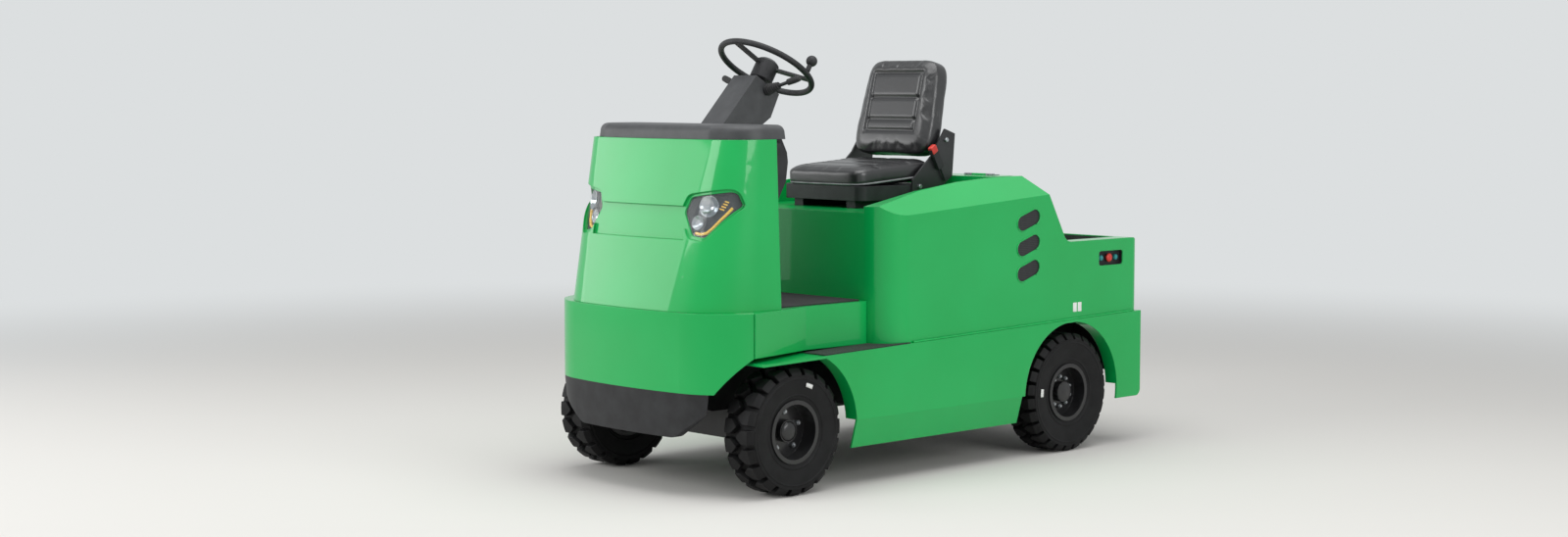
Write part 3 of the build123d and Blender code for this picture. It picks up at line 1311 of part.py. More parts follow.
# Wheels: axle station, tyre radius, outer face, lugs in a row, disc face, axle end radius and where that ends
WHEEL_TABLE = {
    "front": (FRONT_AXLE_X, FRONT_TYRE_R, FRONT_TYRE_OUTER_Y, FRONT_ROW_LUGS, FRONT_DISC_Y, SPINDLE_R, SPINDLE_END_Y),
    "rear": (REAR_AXLE_X, REAR_TYRE_R, REAR_TYRE_OUTER_Y, REAR_ROW_LUGS, REAR_DISC_Y, STUB_R, STUB_END_Y),
}
for place, (axle_x, radius, outer_y, row_lugs, disc_y, bore_r, bore_end_y) in WHEEL_TABLE.items():
    left_tyre = make_tyre(axle_x, radius, outer_y, row_lugs)
    left_rim = make_rim(axle_x, radius, outer_y, disc_y, bore_r, bore_end_y)
    save(left_tyre, f"tyre_{place}_left")
    save(left_rim, f"rim_{place}_left")
    save(mirror(left_tyre, about=Plane.XZ), f"tyre_{place}_right")
    save(mirror(left_rim, about=Plane.XZ), f"rim_{place}_right")

# Tow hitch: a back plate with three jaws and one upright pin hole through them
HITCH_X = BODY_REAR_X - HITCH_REACH
with BuildPart() as tow_hitch:
    with Locations((BODY_REAR_X, 0, HITCH_JAW_LEVELS[0] - HITCH_MARGIN)):
        Box(
            HITCH_PLATE,
            3 * HITCH_HALF,
            HITCH_JAW_LEVELS[-1] + HITCH_JAW_THICK - HITCH_JAW_LEVELS[0] + 2 * HITCH_MARGIN,
            align=(Align.MAX, Align.CENTER, Align.MIN),
        )
    for level in HITCH_JAW_LEVELS:
        with BuildSketch(Plane.XY.offset(level)) as jaw:
            with Locations((BODY_REAR_X - HITCH_PLATE / 2, 0)):
                Rectangle(HITCH_REACH - HITCH_PLATE / 2, 2 * HITCH_HALF, align=(Align.MAX, Align.CENTER))
            fillet(jaw.vertices().group_by(Axis.X)[0], HITCH_ROUND)
            with Locations((HITCH_X + HITCH_PIN_INSET, 0)):
                Circle(HITCH_PIN_R, mode=Mode.SUBTRACT)
        extrude(amount=HITCH_JAW_THICK)
save(tow_hitch.part, "tow_hitch")

with BuildPart() as tail_lamps:
    for y in (-TAIL_LAMP_Y, TAIL_LAMP_Y):
        with BuildSketch(Plane.YZ.offset(BODY_REAR_X)):
            with Locations((y, TAIL_LAMP_Z)):
                RectangleRounded(TAIL_LAMP_WIDE, TAIL_LAMP_HIGH, TAIL_LAMP_ROUND)
        extrude(amount=-TAIL_LAMP_THICK)
save(tail_lamps.part, "tail_lamps")

# Seat: base on the deck, cushion, reclined back, side brackets and belt buckle
with BuildPart() as seat_base:
    for side in (1, -1):
        with Locations((SEAT_FRONT_X - SEAT_RAIL_INSET, side * SEAT_RAIL_Y, DECK_Z)):
            Box(SEAT_RAIL_LONG, SEAT_RAIL_WIDE, SEAT_RAIL_HIGH, align=(Align.MAX, Align.CENTER, Align.MIN))
    with BuildSketch(Plane.XY.offset(DECK_Z + SEAT_RAIL_HIGH)):
        with Locations(((SEAT_FRONT_X + SEAT_REAR_X) / 2, 0)):
            RectangleRounded(SEAT_FRONT_X - SEAT_REAR_X - 2 * SEAT_PAN_INSET, 2 * SEAT_INNER_HALF, SEAT_PAN_ROUND)
    extrude(amount=CUSHION_BOTTOM_Z - FIT_GAP - DECK_Z - SEAT_RAIL_HIGH)
save(seat_base.part, "seat_base")

with BuildPart() as seat_cushion:
    with BuildSketch(Plane.XZ):
        Polygon(
            (SEAT_FRONT_X, CUSHION_BOTTOM_Z),
            (SEAT_FRONT_X, CUSHION_FRONT_Z),
            (SEAT_REAR_X, CUSHION_REAR_Z),
            (SEAT_REAR_X, CUSHION_BOTTOM_Z),
            align=None,
        )
    extrude(amount=SEAT_INNER_HALF, both=True)
    fillet(seat_cushion.faces().sort_by(Axis.Z)[-1].edges(), CUSHION_ROUND)
save(seat_cushion.part, "seat_cushion")

with BuildPart() as seat_back:
    back_high = BACK_TOP_Z - BACK_FOOT_Z
    with BuildSketch(Plane.XZ):
        Polygon(
            *[
                (SEAT_REAR_X + reach, BACK_FOOT_Z + share * back_high)
                for reach, share in zip(BACK_REACHES, BACK_SHARES)
            ],
            align=None,
        )
    extrude(amount=SEAT_INNER_HALF, both=True)
    with BuildSketch(Plane.YZ.offset(SEAT_REAR_X)) as back_outline:
        Polygon(
            (-BACK_FOOT_HALF, BACK_FOOT_Z),
            (-SEAT_INNER_HALF, BACK_FOOT_Z + BACK_FOOT_RISE),
            (-SEAT_INNER_HALF, BACK_FOOT_Z + BACK_SIDE_RISE),
            (-BACK_TOP_HALF, BACK_TOP_Z),
            (BACK_TOP_HALF, BACK_TOP_Z),
            (SEAT_INNER_HALF, BACK_FOOT_Z + BACK_SIDE_RISE),
            (SEAT_INNER_HALF, BACK_FOOT_Z + BACK_FOOT_RISE),
            (BACK_FOOT_HALF, BACK_FOOT_Z),
            align=None,
        )
        fillet(back_outline.vertices().group_by(Axis.Y)[-1], BACK_TOP_ROUND)
    extrude(amount=2 * CUT_REACH, both=True, mode=Mode.INTERSECT)
save(seat_back.part, "seat_back")

with BuildPart() as seat_brackets:
    for side in (1, -1):
        with BuildSketch(Plane.XZ.offset(-side * (SEAT_INNER_HALF + FIT_GAP))):
            Polygon(
                *[(SEAT_REAR_X + reach, DECK_Z + rise) for reach, rise in zip(BRACKET_REACHES, BRACKET_RISES)],
                align=None,
            )
        extrude(amount=-side * BRACKET_THICK)
save(seat_brackets.part, "seat_brackets")

with BuildPart() as belt_buckle:
    with BuildSketch(Plane.XZ.offset(-(SEAT_HALF + FIT_GAP))):
        with Locations((SEAT_REAR_X + BUCKLE_REACH, BUCKLE_Z)):
            RectangleRounded(BUCKLE_WIDE, BUCKLE_LONG, BUCKLE_ROUND, rotation=-BUCKLE_TILT)
    extrude(amount=-BUCKLE_THICK)
save(belt_buckle.part, "belt_buckle")
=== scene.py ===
import json
import math

import bmesh
import bpy
import numpy as np
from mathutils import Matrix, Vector
from mathutils.bvhtree import BVHTree


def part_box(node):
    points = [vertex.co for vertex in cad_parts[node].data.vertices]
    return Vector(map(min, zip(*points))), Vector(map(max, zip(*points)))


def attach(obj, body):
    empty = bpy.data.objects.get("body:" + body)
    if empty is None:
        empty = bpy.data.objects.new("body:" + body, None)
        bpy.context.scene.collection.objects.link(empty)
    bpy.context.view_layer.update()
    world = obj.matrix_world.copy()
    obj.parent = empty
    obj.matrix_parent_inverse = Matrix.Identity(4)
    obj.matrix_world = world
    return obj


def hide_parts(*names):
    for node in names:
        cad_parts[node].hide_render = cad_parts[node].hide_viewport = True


# Electric tow tractor. X forward, Y to the driver's left, Z up. Sizes in millimetres, scene units in metres.
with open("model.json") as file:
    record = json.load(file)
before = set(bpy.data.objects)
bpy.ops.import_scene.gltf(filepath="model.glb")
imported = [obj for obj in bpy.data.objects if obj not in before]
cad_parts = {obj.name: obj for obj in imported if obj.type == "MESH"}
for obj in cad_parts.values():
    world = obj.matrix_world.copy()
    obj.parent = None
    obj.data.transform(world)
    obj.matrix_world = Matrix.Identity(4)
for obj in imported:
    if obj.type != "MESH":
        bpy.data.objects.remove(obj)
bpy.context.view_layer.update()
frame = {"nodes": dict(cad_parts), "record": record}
nodes = frame["nodes"]
MM = 0.001
SIDES = (("left", 1), ("right", -1))
TO_LEFT = (0, 1, 0)
TO_RIGHT = (0, -1, 0)
TO_REAR = (-1, 0, 0)
UPWARD = (0, 0, 1)


def edges_of(node):
    """Lowest and highest corner of a CAD node in millimetres."""
    low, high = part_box(node)
    return np.array(low) / MM, np.array(high) / MM


# Colour and material tools, with the range of most noise values and the period of a wave at scale 1
NOISE_RANGE = (0.3, 0.72)
WAVE_PERIOD = math.pi / 10


def linear(code):
    """sRGB hex to linear: a channel v is v / 12.92 up to 0.04045, and ((v + 0.055) / 1.055) ** 2.4 above."""
    v = np.array([int(code[i : i + 2], 16) for i in (1, 3, 5)]) / 255
    channels = np.where(v <= 0.04045, v / 12.92, ((v + 0.055) / 1.055) ** 2.4)
    return (*channels.tolist(), 1.0)


def per_size(mm):
    """Texture scale at which one cell of a pattern measures this many millimetres."""
    return 1 / (mm * MM)


def add(tree, kind, inputs=None, stops=(), **settings):
    """Adds a node: inputs maps a socket to a value or a socket, stops are a ramp's (position, hex) pairs."""
    made = tree.nodes.new(kind)
    for key, value in settings.items():
        setattr(made, key, value)
    for key, value in (inputs or {}).items():
        if isinstance(value, bpy.types.NodeSocket):
            tree.links.new(value, made.inputs[key])
        else:
            made.inputs[key].default_value = value
    if stops:
        ramp = made.color_ramp.elements
        for position, code in stops[1:-1]:
            ramp.new(position).color = linear(code)
        for end in (0, -1):
            ramp[end].position = stops[end][0]
            ramp[end].color = linear(stops[end][1])
    return made


def material(name, **sockets):
    """New material: returns it, its tree, its Principled shader and Object coordinates."""
    made = bpy.data.materials.new(name)
    made.use_nodes = True
    tree = made.node_tree
    shader = tree.nodes["Principled BSDF"]
    for key, value in sockets.items():
        shader.inputs[key.replace("_", " ")].default_value = value
    place = add(tree, "ShaderNodeTexCoord").outputs["Object"]
    return made, tree, shader, place


def surface(name, dark, light, drift_mm, grain_mm, relief_mm, strength, edge_mm=0.0, cells=False, **sockets):
    """Colour drifts between two shades, a fine grain is raised, and hard edges are rounded for the eye."""
    made, tree, shader, place = material(name, **sockets)
    drift = add(tree, "ShaderNodeTexNoise", {"Vector": place, "Scale": per_size(drift_mm), "Detail": 4.0})
    stops = list(zip(NOISE_RANGE, (dark, light)))
    colour = add(tree, "ShaderNodeValToRGB", {"Fac": drift.outputs["Fac"]}, stops)
    tree.links.new(colour.outputs["Color"], shader.inputs["Base Color"])
    kind, output = ("ShaderNodeTexVoronoi", "Distance") if cells else ("ShaderNodeTexNoise", "Fac")
    grain = add(tree, kind, {"Vector": place, "Scale": per_size(grain_mm)})
    relief = {"Height": grain.outputs[output], "Strength": strength, "Distance": relief_mm * MM}
    if edge_mm:
        edge = add(tree, "ShaderNodeBevel", {"Radius": edge_mm * MM}, samples=4)
        relief["Normal"] = edge.outputs["Normal"]
        tree.links.new(edge.outputs["Normal"], shader.inputs["Coat Normal"])
    bump = add(tree, "ShaderNodeBump", relief)
    tree.links.new(bump.outputs["Normal"], shader.inputs["Normal"])
    return made


def perforated_sheet(pitch_mm):
    """Black sheet with round holes in a square net, painted near black as the shade seen through them, seen
    as a fine mesh from a step away.
    """
    made, tree, shader, place = material("perforated_black_sheet", Roughness=0.45, Metallic=0.3)
    upright = add(tree, "ShaderNodeMapping", {"Vector": place, "Rotation": (math.radians(90), 0, 0)})
    net = add(
        tree,
        "ShaderNodeTexVoronoi",
        {"Vector": upright.outputs["Vector"], "Scale": per_size(pitch_mm), "Randomness": 0.0},
        voronoi_dimensions="2D",
    )
    distance = net.outputs["Distance"]
    # Painted shade: the holes are coloured near black for the unlit space behind them
    colour = add(tree, "ShaderNodeValToRGB", {"Fac": distance}, [(0.26, "#050505"), (0.34, "#2E3032")])
    tree.links.new(colour.outputs["Color"], shader.inputs["Base Color"])
    bump = add(tree, "ShaderNodeBump", {"Height": distance, "Strength": 0.8, "Distance": 1.5 * MM})
    tree.links.new(bump.outputs["Normal"], shader.inputs["Normal"])
    return made


def grit_sheet(grain_mm):
    """Dark sheet with raised, paler hard grains."""
    made, tree, shader, place = material("anti_slip_grit_sheet", Roughness=0.7)
    grains = add(tree, "ShaderNodeTexVoronoi", {"Vector": place, "Scale": per_size(grain_mm)})
    distance = grains.outputs["Distance"]
    stops = [(0.05, "#6C6F70"), (0.25, "#2C2D2E"), (0.8, "#1B1C1D")]
    colour = add(tree, "ShaderNodeValToRGB", {"Fac": distance}, stops)
    tree.links.new(colour.outputs["Color"], shader.inputs["Base Color"])
    relief = {"Height": distance, "Strength": 0.9, "Distance": 1.0 * MM}
    bump = add(tree, "ShaderNodeBump", relief, invert=True)
    tree.links.new(bump.outputs["Normal"], shader.inputs["Normal"])
    return made


def prism_lens(name, dark, light, pitch_mm, **sockets):
    """Lamp lens with level rows of small moulded ridges, painted with highlight and shade in turn."""
    made, tree, shader, place = material(name, **sockets)
    scale = WAVE_PERIOD * per_size(pitch_mm)
    rows = add(tree, "ShaderNodeTexWave", {"Vector": place, "Scale": scale}, bands_direction="Z")
    # Painted highlight and shade: the colour rises and falls with the ridges' own wave
    colour = add(tree, "ShaderNodeValToRGB", {"Fac": rows.outputs["Fac"]}, [(0.2, dark), (0.9, light)])
    tree.links.new(colour.outputs["Color"], shader.inputs["Base Color"])
    bump = add(tree, "ShaderNodeBump", {"Height": rows.outputs["Fac"], "Strength": 0.4, "Distance": 1.0 * MM})
    tree.links.new(bump.outputs["Normal"], shader.inputs["Normal"])
    return made


# Gloss enamel on pressed steel: an even green under a clear gloss, with a faint orange-peel ripple
enamel = surface(
    "gloss_green_enamel", "#00A14B", "#04A952", drift_mm=420, grain_mm=9, relief_mm=0.4, strength=0.04,
    edge_mm=4, Roughness=0.35, Specular_IOR_Level=0.2, Coat_Weight=0.6, Coat_Roughness=0.05,
)
# Moulded black plastic: matt, with a pebbled mould grain
black_plastic = surface(
    "moulded_black_plastic", "#1E1E20", "#2A2B2D", drift_mm=60, grain_mm=1.8, relief_mm=0.3, strength=0.25,
    edge_mm=3, cells=True, Roughness=0.5, Specular_IOR_Level=0.3,
)
# Moulded dark grey plastic: as the black, a little lighter
grey_plastic = surface(
    "moulded_grey_plastic", "#313234", "#404143", drift_mm=60, grain_mm=1.8, relief_mm=0.3, strength=0.25,
    edge_mm=3, cells=True, Roughness=0.5,
)
# Chassis paint: thick black satin paint over rough steel
chassis_paint = surface(
    "black_chassis_paint", "#18181A", "#262628", drift_mm=90, grain_mm=4, relief_mm=0.5, strength=0.3,
    edge_mm=2, Roughness=0.42,
)
# Wheel enamel: black gloss paint on pressed steel, a little cloudy
wheel_enamel = surface(
    "black_wheel_enamel", "#101011", "#1C1C1E", drift_mm=70, grain_mm=5, relief_mm=0.3, strength=0.15,
    edge_mm=2, Roughness=0.3, Coat_Weight=0.2,
)
# Tyre rubber: almost black, dull, with a fine moulded skin
tyre_rubber = surface(
    "tyre_rubber", "#0C0C0D", "#161617", drift_mm=45, grain_mm=3, relief_mm=0.4, strength=0.35,
    Roughness=0.55, Specular_IOR_Level=0.2,
)
# Mat rubber: dull black, scuffed lighter
mat_rubber = surface(
    "ribbed_mat_rubber", "#1B1B1C", "#2B2B2C", drift_mm=120, grain_mm=3, relief_mm=0.3, strength=0.2,
    Roughness=0.75,
)
# Vinyl: soft black upholstery with a leather-like grain
vinyl = surface(
    "black_seat_vinyl", "#171719", "#212123", drift_mm=110, grain_mm=2.4, relief_mm=0.3, strength=0.2,
    cells=True, Roughness=0.32, Specular_IOR_Level=0.8,
)
# Piping vinyl: a pale line along a cushion's edge
piping_vinyl = surface(
    "pale_piping_vinyl", "#6B6D6F", "#8C8E90", drift_mm=30, grain_mm=2, relief_mm=0.2, strength=0.2,
    Roughness=0.5,
)
# Zinc plate: bright bare metal with a cloudy bloom
zinc = surface(
    "zinc_plated_steel", "#8F9396", "#B9BDC0", drift_mm=14, grain_mm=3, relief_mm=0.2, strength=0.2,
    Roughness=0.35, Metallic=0.9,
)
# Mirror plate: a bright vacuum-coated reflector, faintly uneven
mirror_plate = surface(
    "mirror_plated_bowl", "#A9AFB3", "#C4CACE", drift_mm=40, grain_mm=12, relief_mm=0.2, strength=0.1,
    Roughness=0.12, Metallic=1.0,
)
# Lamp moulding: dark and half gloss, so that the bowls stand out
lamp_body = surface(
    "dark_lamp_moulding", "#15171A", "#202428", drift_mm=50, grain_mm=4, relief_mm=0.3, strength=0.15,
    Roughness=0.3,
)
# Clear cover: thin polycarbonate, mostly seen by its gloss
clear_cover = surface(
    "clear_polycarbonate", "#8F979B", "#A7AEB2", drift_mm=200, grain_mm=60, relief_mm=0.1, strength=0.05,
    Roughness=0.04, Alpha=0.12, Coat_Weight=1.0,
)
# Red button plastic: an even signal red, half gloss
red_plastic = surface(
    "red_button_plastic", "#B9281F", "#CC362B", drift_mm=25, grain_mm=3, relief_mm=0.1, strength=0.1,
    edge_mm=1, Roughness=0.32,
)
# Teal button plastic: as the red, in blue-green
teal_plastic = surface(
    "teal_button_plastic", "#1F7F80", "#2A9190", drift_mm=25, grain_mm=3, relief_mm=0.1, strength=0.1,
    edge_mm=1, Roughness=0.35,
)
# Amber lens: ridged yellow plastic with painted highlight and shade on its ridges, and a faint painted glow
# that lightens its yellow
amber_lens = prism_lens(
    "amber_lamp_lens", "#E0AC22", "#F4D056", pitch_mm=9.896, Roughness=0.2,
    # Painted light: a faint emission that brightens the amber's colour
    Emission_Color=linear("#F0C23A"), Emission_Strength=0.3,
)
# Red lens: ridged deep red plastic under a smooth gloss, its ridges painted with highlight and shade in turn
red_lens = prism_lens(
    "red_lamp_lens", "#7E0F10", "#B81F1E", pitch_mm=11.875, Roughness=0.15, Coat_Weight=0.6,
)
# Sticker vinyl: off-white and flat, also for the painted marks on the tyres
sticker_vinyl = surface(
    "pale_sticker_vinyl", "#D9DBD8", "#E7E8E5", drift_mm=30, grain_mm=6, relief_mm=0.1, strength=0.1,
    Roughness=0.45,
)
# Battery case: plain dark grey plastic
battery_plastic = surface(
    "battery_case_plastic", "#3A3D40", "#474A4D", drift_mm=120, grain_mm=3, relief_mm=0.3, strength=0.2,
    edge_mm=3, Roughness=0.5,
)
# Motor paint: mid grey over the coarse skin of a casting
motor_paint = surface(
    "grey_motor_paint", "#55595C", "#676B6E", drift_mm=60, grain_mm=5, relief_mm=0.5, strength=0.3,
    edge_mm=3, Roughness=0.5,
)
# Tray paint: dark and scuffed
tray_paint = surface(
    "dark_tray_paint", "#2B2E2E", "#3B3E3E", drift_mm=90, grain_mm=4, relief_mm=0.3, strength=0.25,
    edge_mm=2, Roughness=0.55,
)

# Each CAD node takes the finish of its slot in the record
finishes = {
    "green_paint": enamel,
    "frame_steel": chassis_paint,
    "motor_paint": motor_paint,
    "battery_case": battery_plastic,
    "black_plastic": black_plastic,
    "grey_plastic": grey_plastic,
    "lamp_reflector": lamp_body,
    "clear_lens": clear_cover,
    "rubber_mat": mat_rubber,
    "pedal_rubber": mat_rubber,
    "grille_mesh": perforated_sheet(pitch_mm=7),
    "red_plastic": red_plastic,
    "teal_plastic": teal_plastic,
    "tray_paint": tray_paint,
    "hinge_steel": zinc,
    "step_grit": grit_sheet(grain_mm=2.2),
    "red_lens": red_lens,
    "seat_vinyl": vinyl,
    "bracket_steel": chassis_paint,
    "wheel_plastic": black_plastic,
    "tyre_rubber": tyre_rubber,
    "rim_paint": wheel_enamel,
}
for row in frame["record"]["subparts"]:
    obj = nodes[row["node"]]
    obj.data.materials.clear()
    obj.data.materials.append(finishes[row["material_slot"]])

# Shape tools: a shape is an array of points in millimetres and an array of four-cornered faces
MERGE_MM = 0.02
CREASE = math.radians(35)


def grid_faces(rows, columns, close_rows=False, close_columns=False):
    """Faces between neighbours of a grid stored row by row; a closed way joins its last to its first."""
    r = np.arange(rows if close_rows else rows - 1)[:, None]
    c = np.arange(columns if close_columns else columns - 1)[None, :]
    next_r = (r + 1) % rows
    next_c = (c + 1) % columns
    corners = (r * columns + c, r * columns + next_c, next_r * columns + next_c, next_r * columns + c)
    return np.stack([k.ravel() for k in np.broadcast_arrays(*corners)], axis=1)


def turned(profile, steps):
    """Solid of revolution about Z: each (radius, height) of the profile goes round in equal steps."""
    profile = np.asarray(profile, float)
    angle = np.linspace(0, 2 * math.pi, steps, endpoint=False)[:, None]
    radius = profile[None, :, 0]
    height = np.broadcast_to(profile[None, :, 1], (steps, len(profile)))
    points = np.stack([radius * np.cos(angle), radius * np.sin(angle), height], axis=-1)
    return points.reshape(-1, 3), grid_faces(steps, len(profile), close_rows=True)


def tube(path, radius, sides):
    """Round tube along a path, closed at its ends: each point carries a ring square to the path there."""
    path = np.asarray(path, float)
    path = np.concatenate([path[:1], path, path[-1:]])
    radii = np.broadcast_to(radius, len(path) - 2)
    radii = np.concatenate([[0], radii, [0]])
    along = np.gradient(path[1:-1], axis=0)
    along = np.concatenate([along[:1], along, along[-1:]])
    along /= np.linalg.norm(along, axis=1, keepdims=True)
    side = np.cross(along, np.where(np.abs(along[:, 2:]) > 0.9, (1.0, 0.0, 0.0), (0.0, 0.0, 1.0)))
    side /= np.linalg.norm(side, axis=1, keepdims=True)
    up = np.cross(side, along)
    turn = np.linspace(0, 2 * math.pi, sides, endpoint=False)[None, :, None]
    ring = np.cos(turn) * side[:, None] + np.sin(turn) * up[:, None]
    points = path[:, None] + radii[:, None, None] * ring
    return points.reshape(-1, 3), grid_faces(len(path), sides, close_columns=True)


def power(value, exponent):
    """Power of a value's size that keeps its sign."""
    return np.sign(value) * np.abs(value) ** exponent


def soft_box(half, roundness, rows, columns):
    """Pillow block: a ball with its sines and cosines raised to a power below 1, so that it fills its box."""
    lift = np.linspace(-math.pi / 2, math.pi / 2, rows)[:, None]
    turn = np.linspace(-math.pi, math.pi, columns, endpoint=False)[None, :]
    plan, section = roundness
    x = half[0] * power(np.cos(lift), section) * power(np.cos(turn), plan)
    y = half[1] * power(np.cos(lift), section) * power(np.sin(turn), plan)
    z = half[2] * power(np.sin(lift), section) * np.ones_like(turn)
    return np.stack([x, y, z], axis=-1).reshape(-1, 3), grid_faces(rows, columns, close_columns=True)


def turned_axes(x_axis, y_axis, z_axis, origin):
    """Matrix that puts a shape's own axes along three directions, at an origin."""
    move = np.eye(4)
    move[:3, :3] = np.stack([x_axis, y_axis, z_axis], axis=1)
    move[:3, 3] = origin
    return move


def placed(origin, outward, upward=UPWARD):
    """Matrix that puts a shape's Z along outward and its Y close to upward, at an origin."""
    z = np.asarray(outward, float) / np.linalg.norm(outward)
    x = np.cross(upward, z)
    x /= np.linalg.norm(x)
    return turned_axes(x, np.cross(z, x), z, origin)


def copies(shape, moves):
    """The same shape at each of several places."""
    points, faces = shape
    flat = np.c_[points, np.ones(len(points))]
    moved = np.einsum("nij,pj->npi", np.asarray(moves), flat)[..., :3].reshape(-1, 3)
    shift = np.arange(len(moves))[:, None, None] * len(points)
    return moved, (faces[None] + shift).reshape(-1, 4)


def joined(*shapes):
    """Several shapes as one."""
    points = [shape[0] for shape in shapes]
    starts = np.cumsum([0] + [len(some) for some in points[:-1]])
    faces = [shape[1] + start for shape, start in zip(shapes, starts)]
    return np.concatenate(points), np.concatenate(faces)


def make_piece(name, shape, finish, body, replaced=()):
    """Object from a shape: doubles merged, faces outwards, smooth up to the crease angle; rides on a body."""
    points, faces = shape
    mesh = bpy.data.meshes.new(name)
    mesh.from_pydata((np.asarray(points) * MM).tolist(), [], faces.tolist())
    work = bmesh.new()
    work.from_mesh(mesh)
    bmesh.ops.remove_doubles(work, verts=work.verts, dist=MERGE_MM * MM)
    bmesh.ops.recalc_face_normals(work, faces=work.faces)
    work.to_mesh(mesh)
    work.free()
    mesh.shade_smooth()
    mesh.set_sharp_from_angle(angle=CREASE)
    mesh.materials.append(finish)
    obj = bpy.data.objects.new(name, mesh)
    bpy.context.scene.collection.objects.link(obj)
    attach(obj, body)
    if replaced:
        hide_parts(*replaced)
    return obj


def hex_head(across, high):
    """Six-sided head with a chamfered top: hexagonal rings about Z."""
    r = across / math.sqrt(3)
    return turned([(0, 0), (r, 0), (r, 0.82 * high), (0.86 * r, high), (0, high)], 6)


def hex_nut(across, high, stud_r, stud_high):
    """Hexagon head with the chamfered end of a round stud standing out of it."""
    end = high + stud_high
    stud = turned([(0, 0), (stud_r, 0), (stud_r, end - 1), (stud_r - 1, end), (0, end)], 12)
    return joined(hex_head(across, high), stud)


# Tyres: a turned carcass with two raised rings on each side, and two staggered rows of bevelled lugs
TYRE_HALF = 77.5
TYRE_OVER_CAD = 0.6
RIM_LAP = 7.7
RING_WIDTH = 2.2
INNER_RING_HIGH = 3.0
INNER_RING_FROM_BORE = 26
OUTER_RING_HIGH = 2.4
OUTER_RING_FROM_BASE = 14
LUG_DEPTH = 24.0
LUG_FOOT = -5.0
LUG_BEVEL = 2.2
LUG_HALF_OF_PITCH = 0.4
LUGS_IN_ROW = {"front": 20, "rear": 26}


def carcass(base_r, bore_r):
    """Section turned about the axle: a side is half * (0.8 + 0.2 s) + 3 sin(pi s) and two bell rings."""
    r = np.linspace(bore_r, base_r, 44)
    share = (r - bore_r) / (base_r - bore_r)
    rings = INNER_RING_HIGH * np.exp(-(((r - bore_r - INNER_RING_FROM_BORE) / RING_WIDTH) ** 2))
    rings += OUTER_RING_HIGH * np.exp(-(((r - base_r + OUTER_RING_FROM_BASE) / RING_WIDTH) ** 2))
    y = TYRE_HALF * (0.8 + 0.2 * share) + 3.0 * np.sin(math.pi * share) + rings
    side = np.stack([r, np.minimum(y, TYRE_HALF + 2.5)], axis=1)
    band = np.stack([np.full(5, base_r), np.linspace(TYRE_HALF - 6, 6 - TYRE_HALF, 5)], axis=1)
    profile = np.concatenate([side, band, side[::-1] * (1, -1)])
    profile = np.concatenate([profile, profile[:1]])
    return turned(profile, 96)


def lug(radius, base_r, half):
    """One lug: rows run from the tip at the middle to the sloped end, columns across, bent round the tyre."""
    last = TYRE_HALF - 1.5
    y = np.array([3, 3, 3 + LUG_BEVEL, 16, 30, 45, 60, 66, 72, last, last])
    top = np.interp(y, [0, 60, TYRE_HALF], [LUG_DEPTH, LUG_DEPTH, 3.0])
    wide = half * np.interp(y, [3, 30, TYRE_HALF], [0.12, 0.93, 0.93])
    end = np.array([1, 0.9, 0, 0, 0, 0, 0, 0, 0, 0.5, 1])
    top = np.where(end == 1, LUG_FOOT, top - LUG_BEVEL * end)
    across = np.array([-1.07, -1.0, -0.93, -0.5, 0, 0.5, 0.93, 1.0, 1.07])[None, :]
    edge = np.abs(across)
    height = np.where(edge > 1.05, LUG_FOOT, top[:, None] - LUG_BEVEL * (edge > 0.97))
    height = np.maximum(height, LUG_FOOT)
    angle = wide[:, None] * across / radius
    reach = base_r + height
    y_grid = np.broadcast_to(y[:, None], angle.shape)
    points = np.stack([reach * np.sin(angle), y_grid, reach * np.cos(angle)], axis=-1)
    return points.reshape(-1, 3), grid_faces(len(y), across.shape[1], close_columns=True)


def about_axle(turn):
    """Matrix that turns a shape about Y."""
    move = np.eye(4)
    move[0, 0] = move[2, 2] = math.cos(turn)
    move[0, 2] = math.sin(turn)
    move[2, 0] = -math.sin(turn)
    return move


def tyre_shape(radius, bore_r, row_lugs):
    """Whole tyre about the origin with its outer side at +Y."""
    pitch = 2 * math.pi / row_lugs
    half = LUG_HALF_OF_PITCH * pitch * radius
    base_r = radius * math.cos(half / radius) - LUG_DEPTH
    points, faces = carcass(base_r, bore_r)
    upright = (points[:, [0, 2, 1]], faces)
    one = lug(radius - 1, base_r + 1, half)
    mirrored = (one[0] * (1, -1, 1), one[1])
    outer = copies(one, [about_axle(math.pi + k * pitch) for k in range(row_lugs)])
    inner = copies(mirrored, [about_axle(math.pi + (k + 0.5) * pitch) for k in range(row_lugs)])
    return joined(upright, outer, inner)


# Wheels: a dressed tyre, nuts on the disc, a domed hub cap and a painted mark on the outer sidewall
DISC_Y = {"front": 484, "rear": 500}
HUB_Y = {"front": 514, "rear": 534}
NUT_COUNT = {"front": 5, "rear": 10}
NUT_CIRCLE = {"front": 72, "rear": 62}
NUT_ACROSS = {"front": 19, "rear": 17}
NUT_HIGH = 12
STUD_R = 6
STUD_HIGH = 6
FIRST_NUT_AT = 0.3
CAP_PROFILE = {
    "front": [(0, 12), (14, 11.1), (26, 9), (34, 6), (38, 0.8), (38, -2), (0, -2)],
    "rear": [(0, 5), (14, 4.1), (26, 2), (34, 2.2), (38, 0.8), (38, -2), (0, -2)],
}
MARK_AT = {"front": -0.35, "rear": 1.5}
MARK_HALF = 0.09
MARK_STEPS = 9
MARK_RADII = (171.0, 186.0)
MARK_OUT = 0.6
MARK_THICK = 3.5
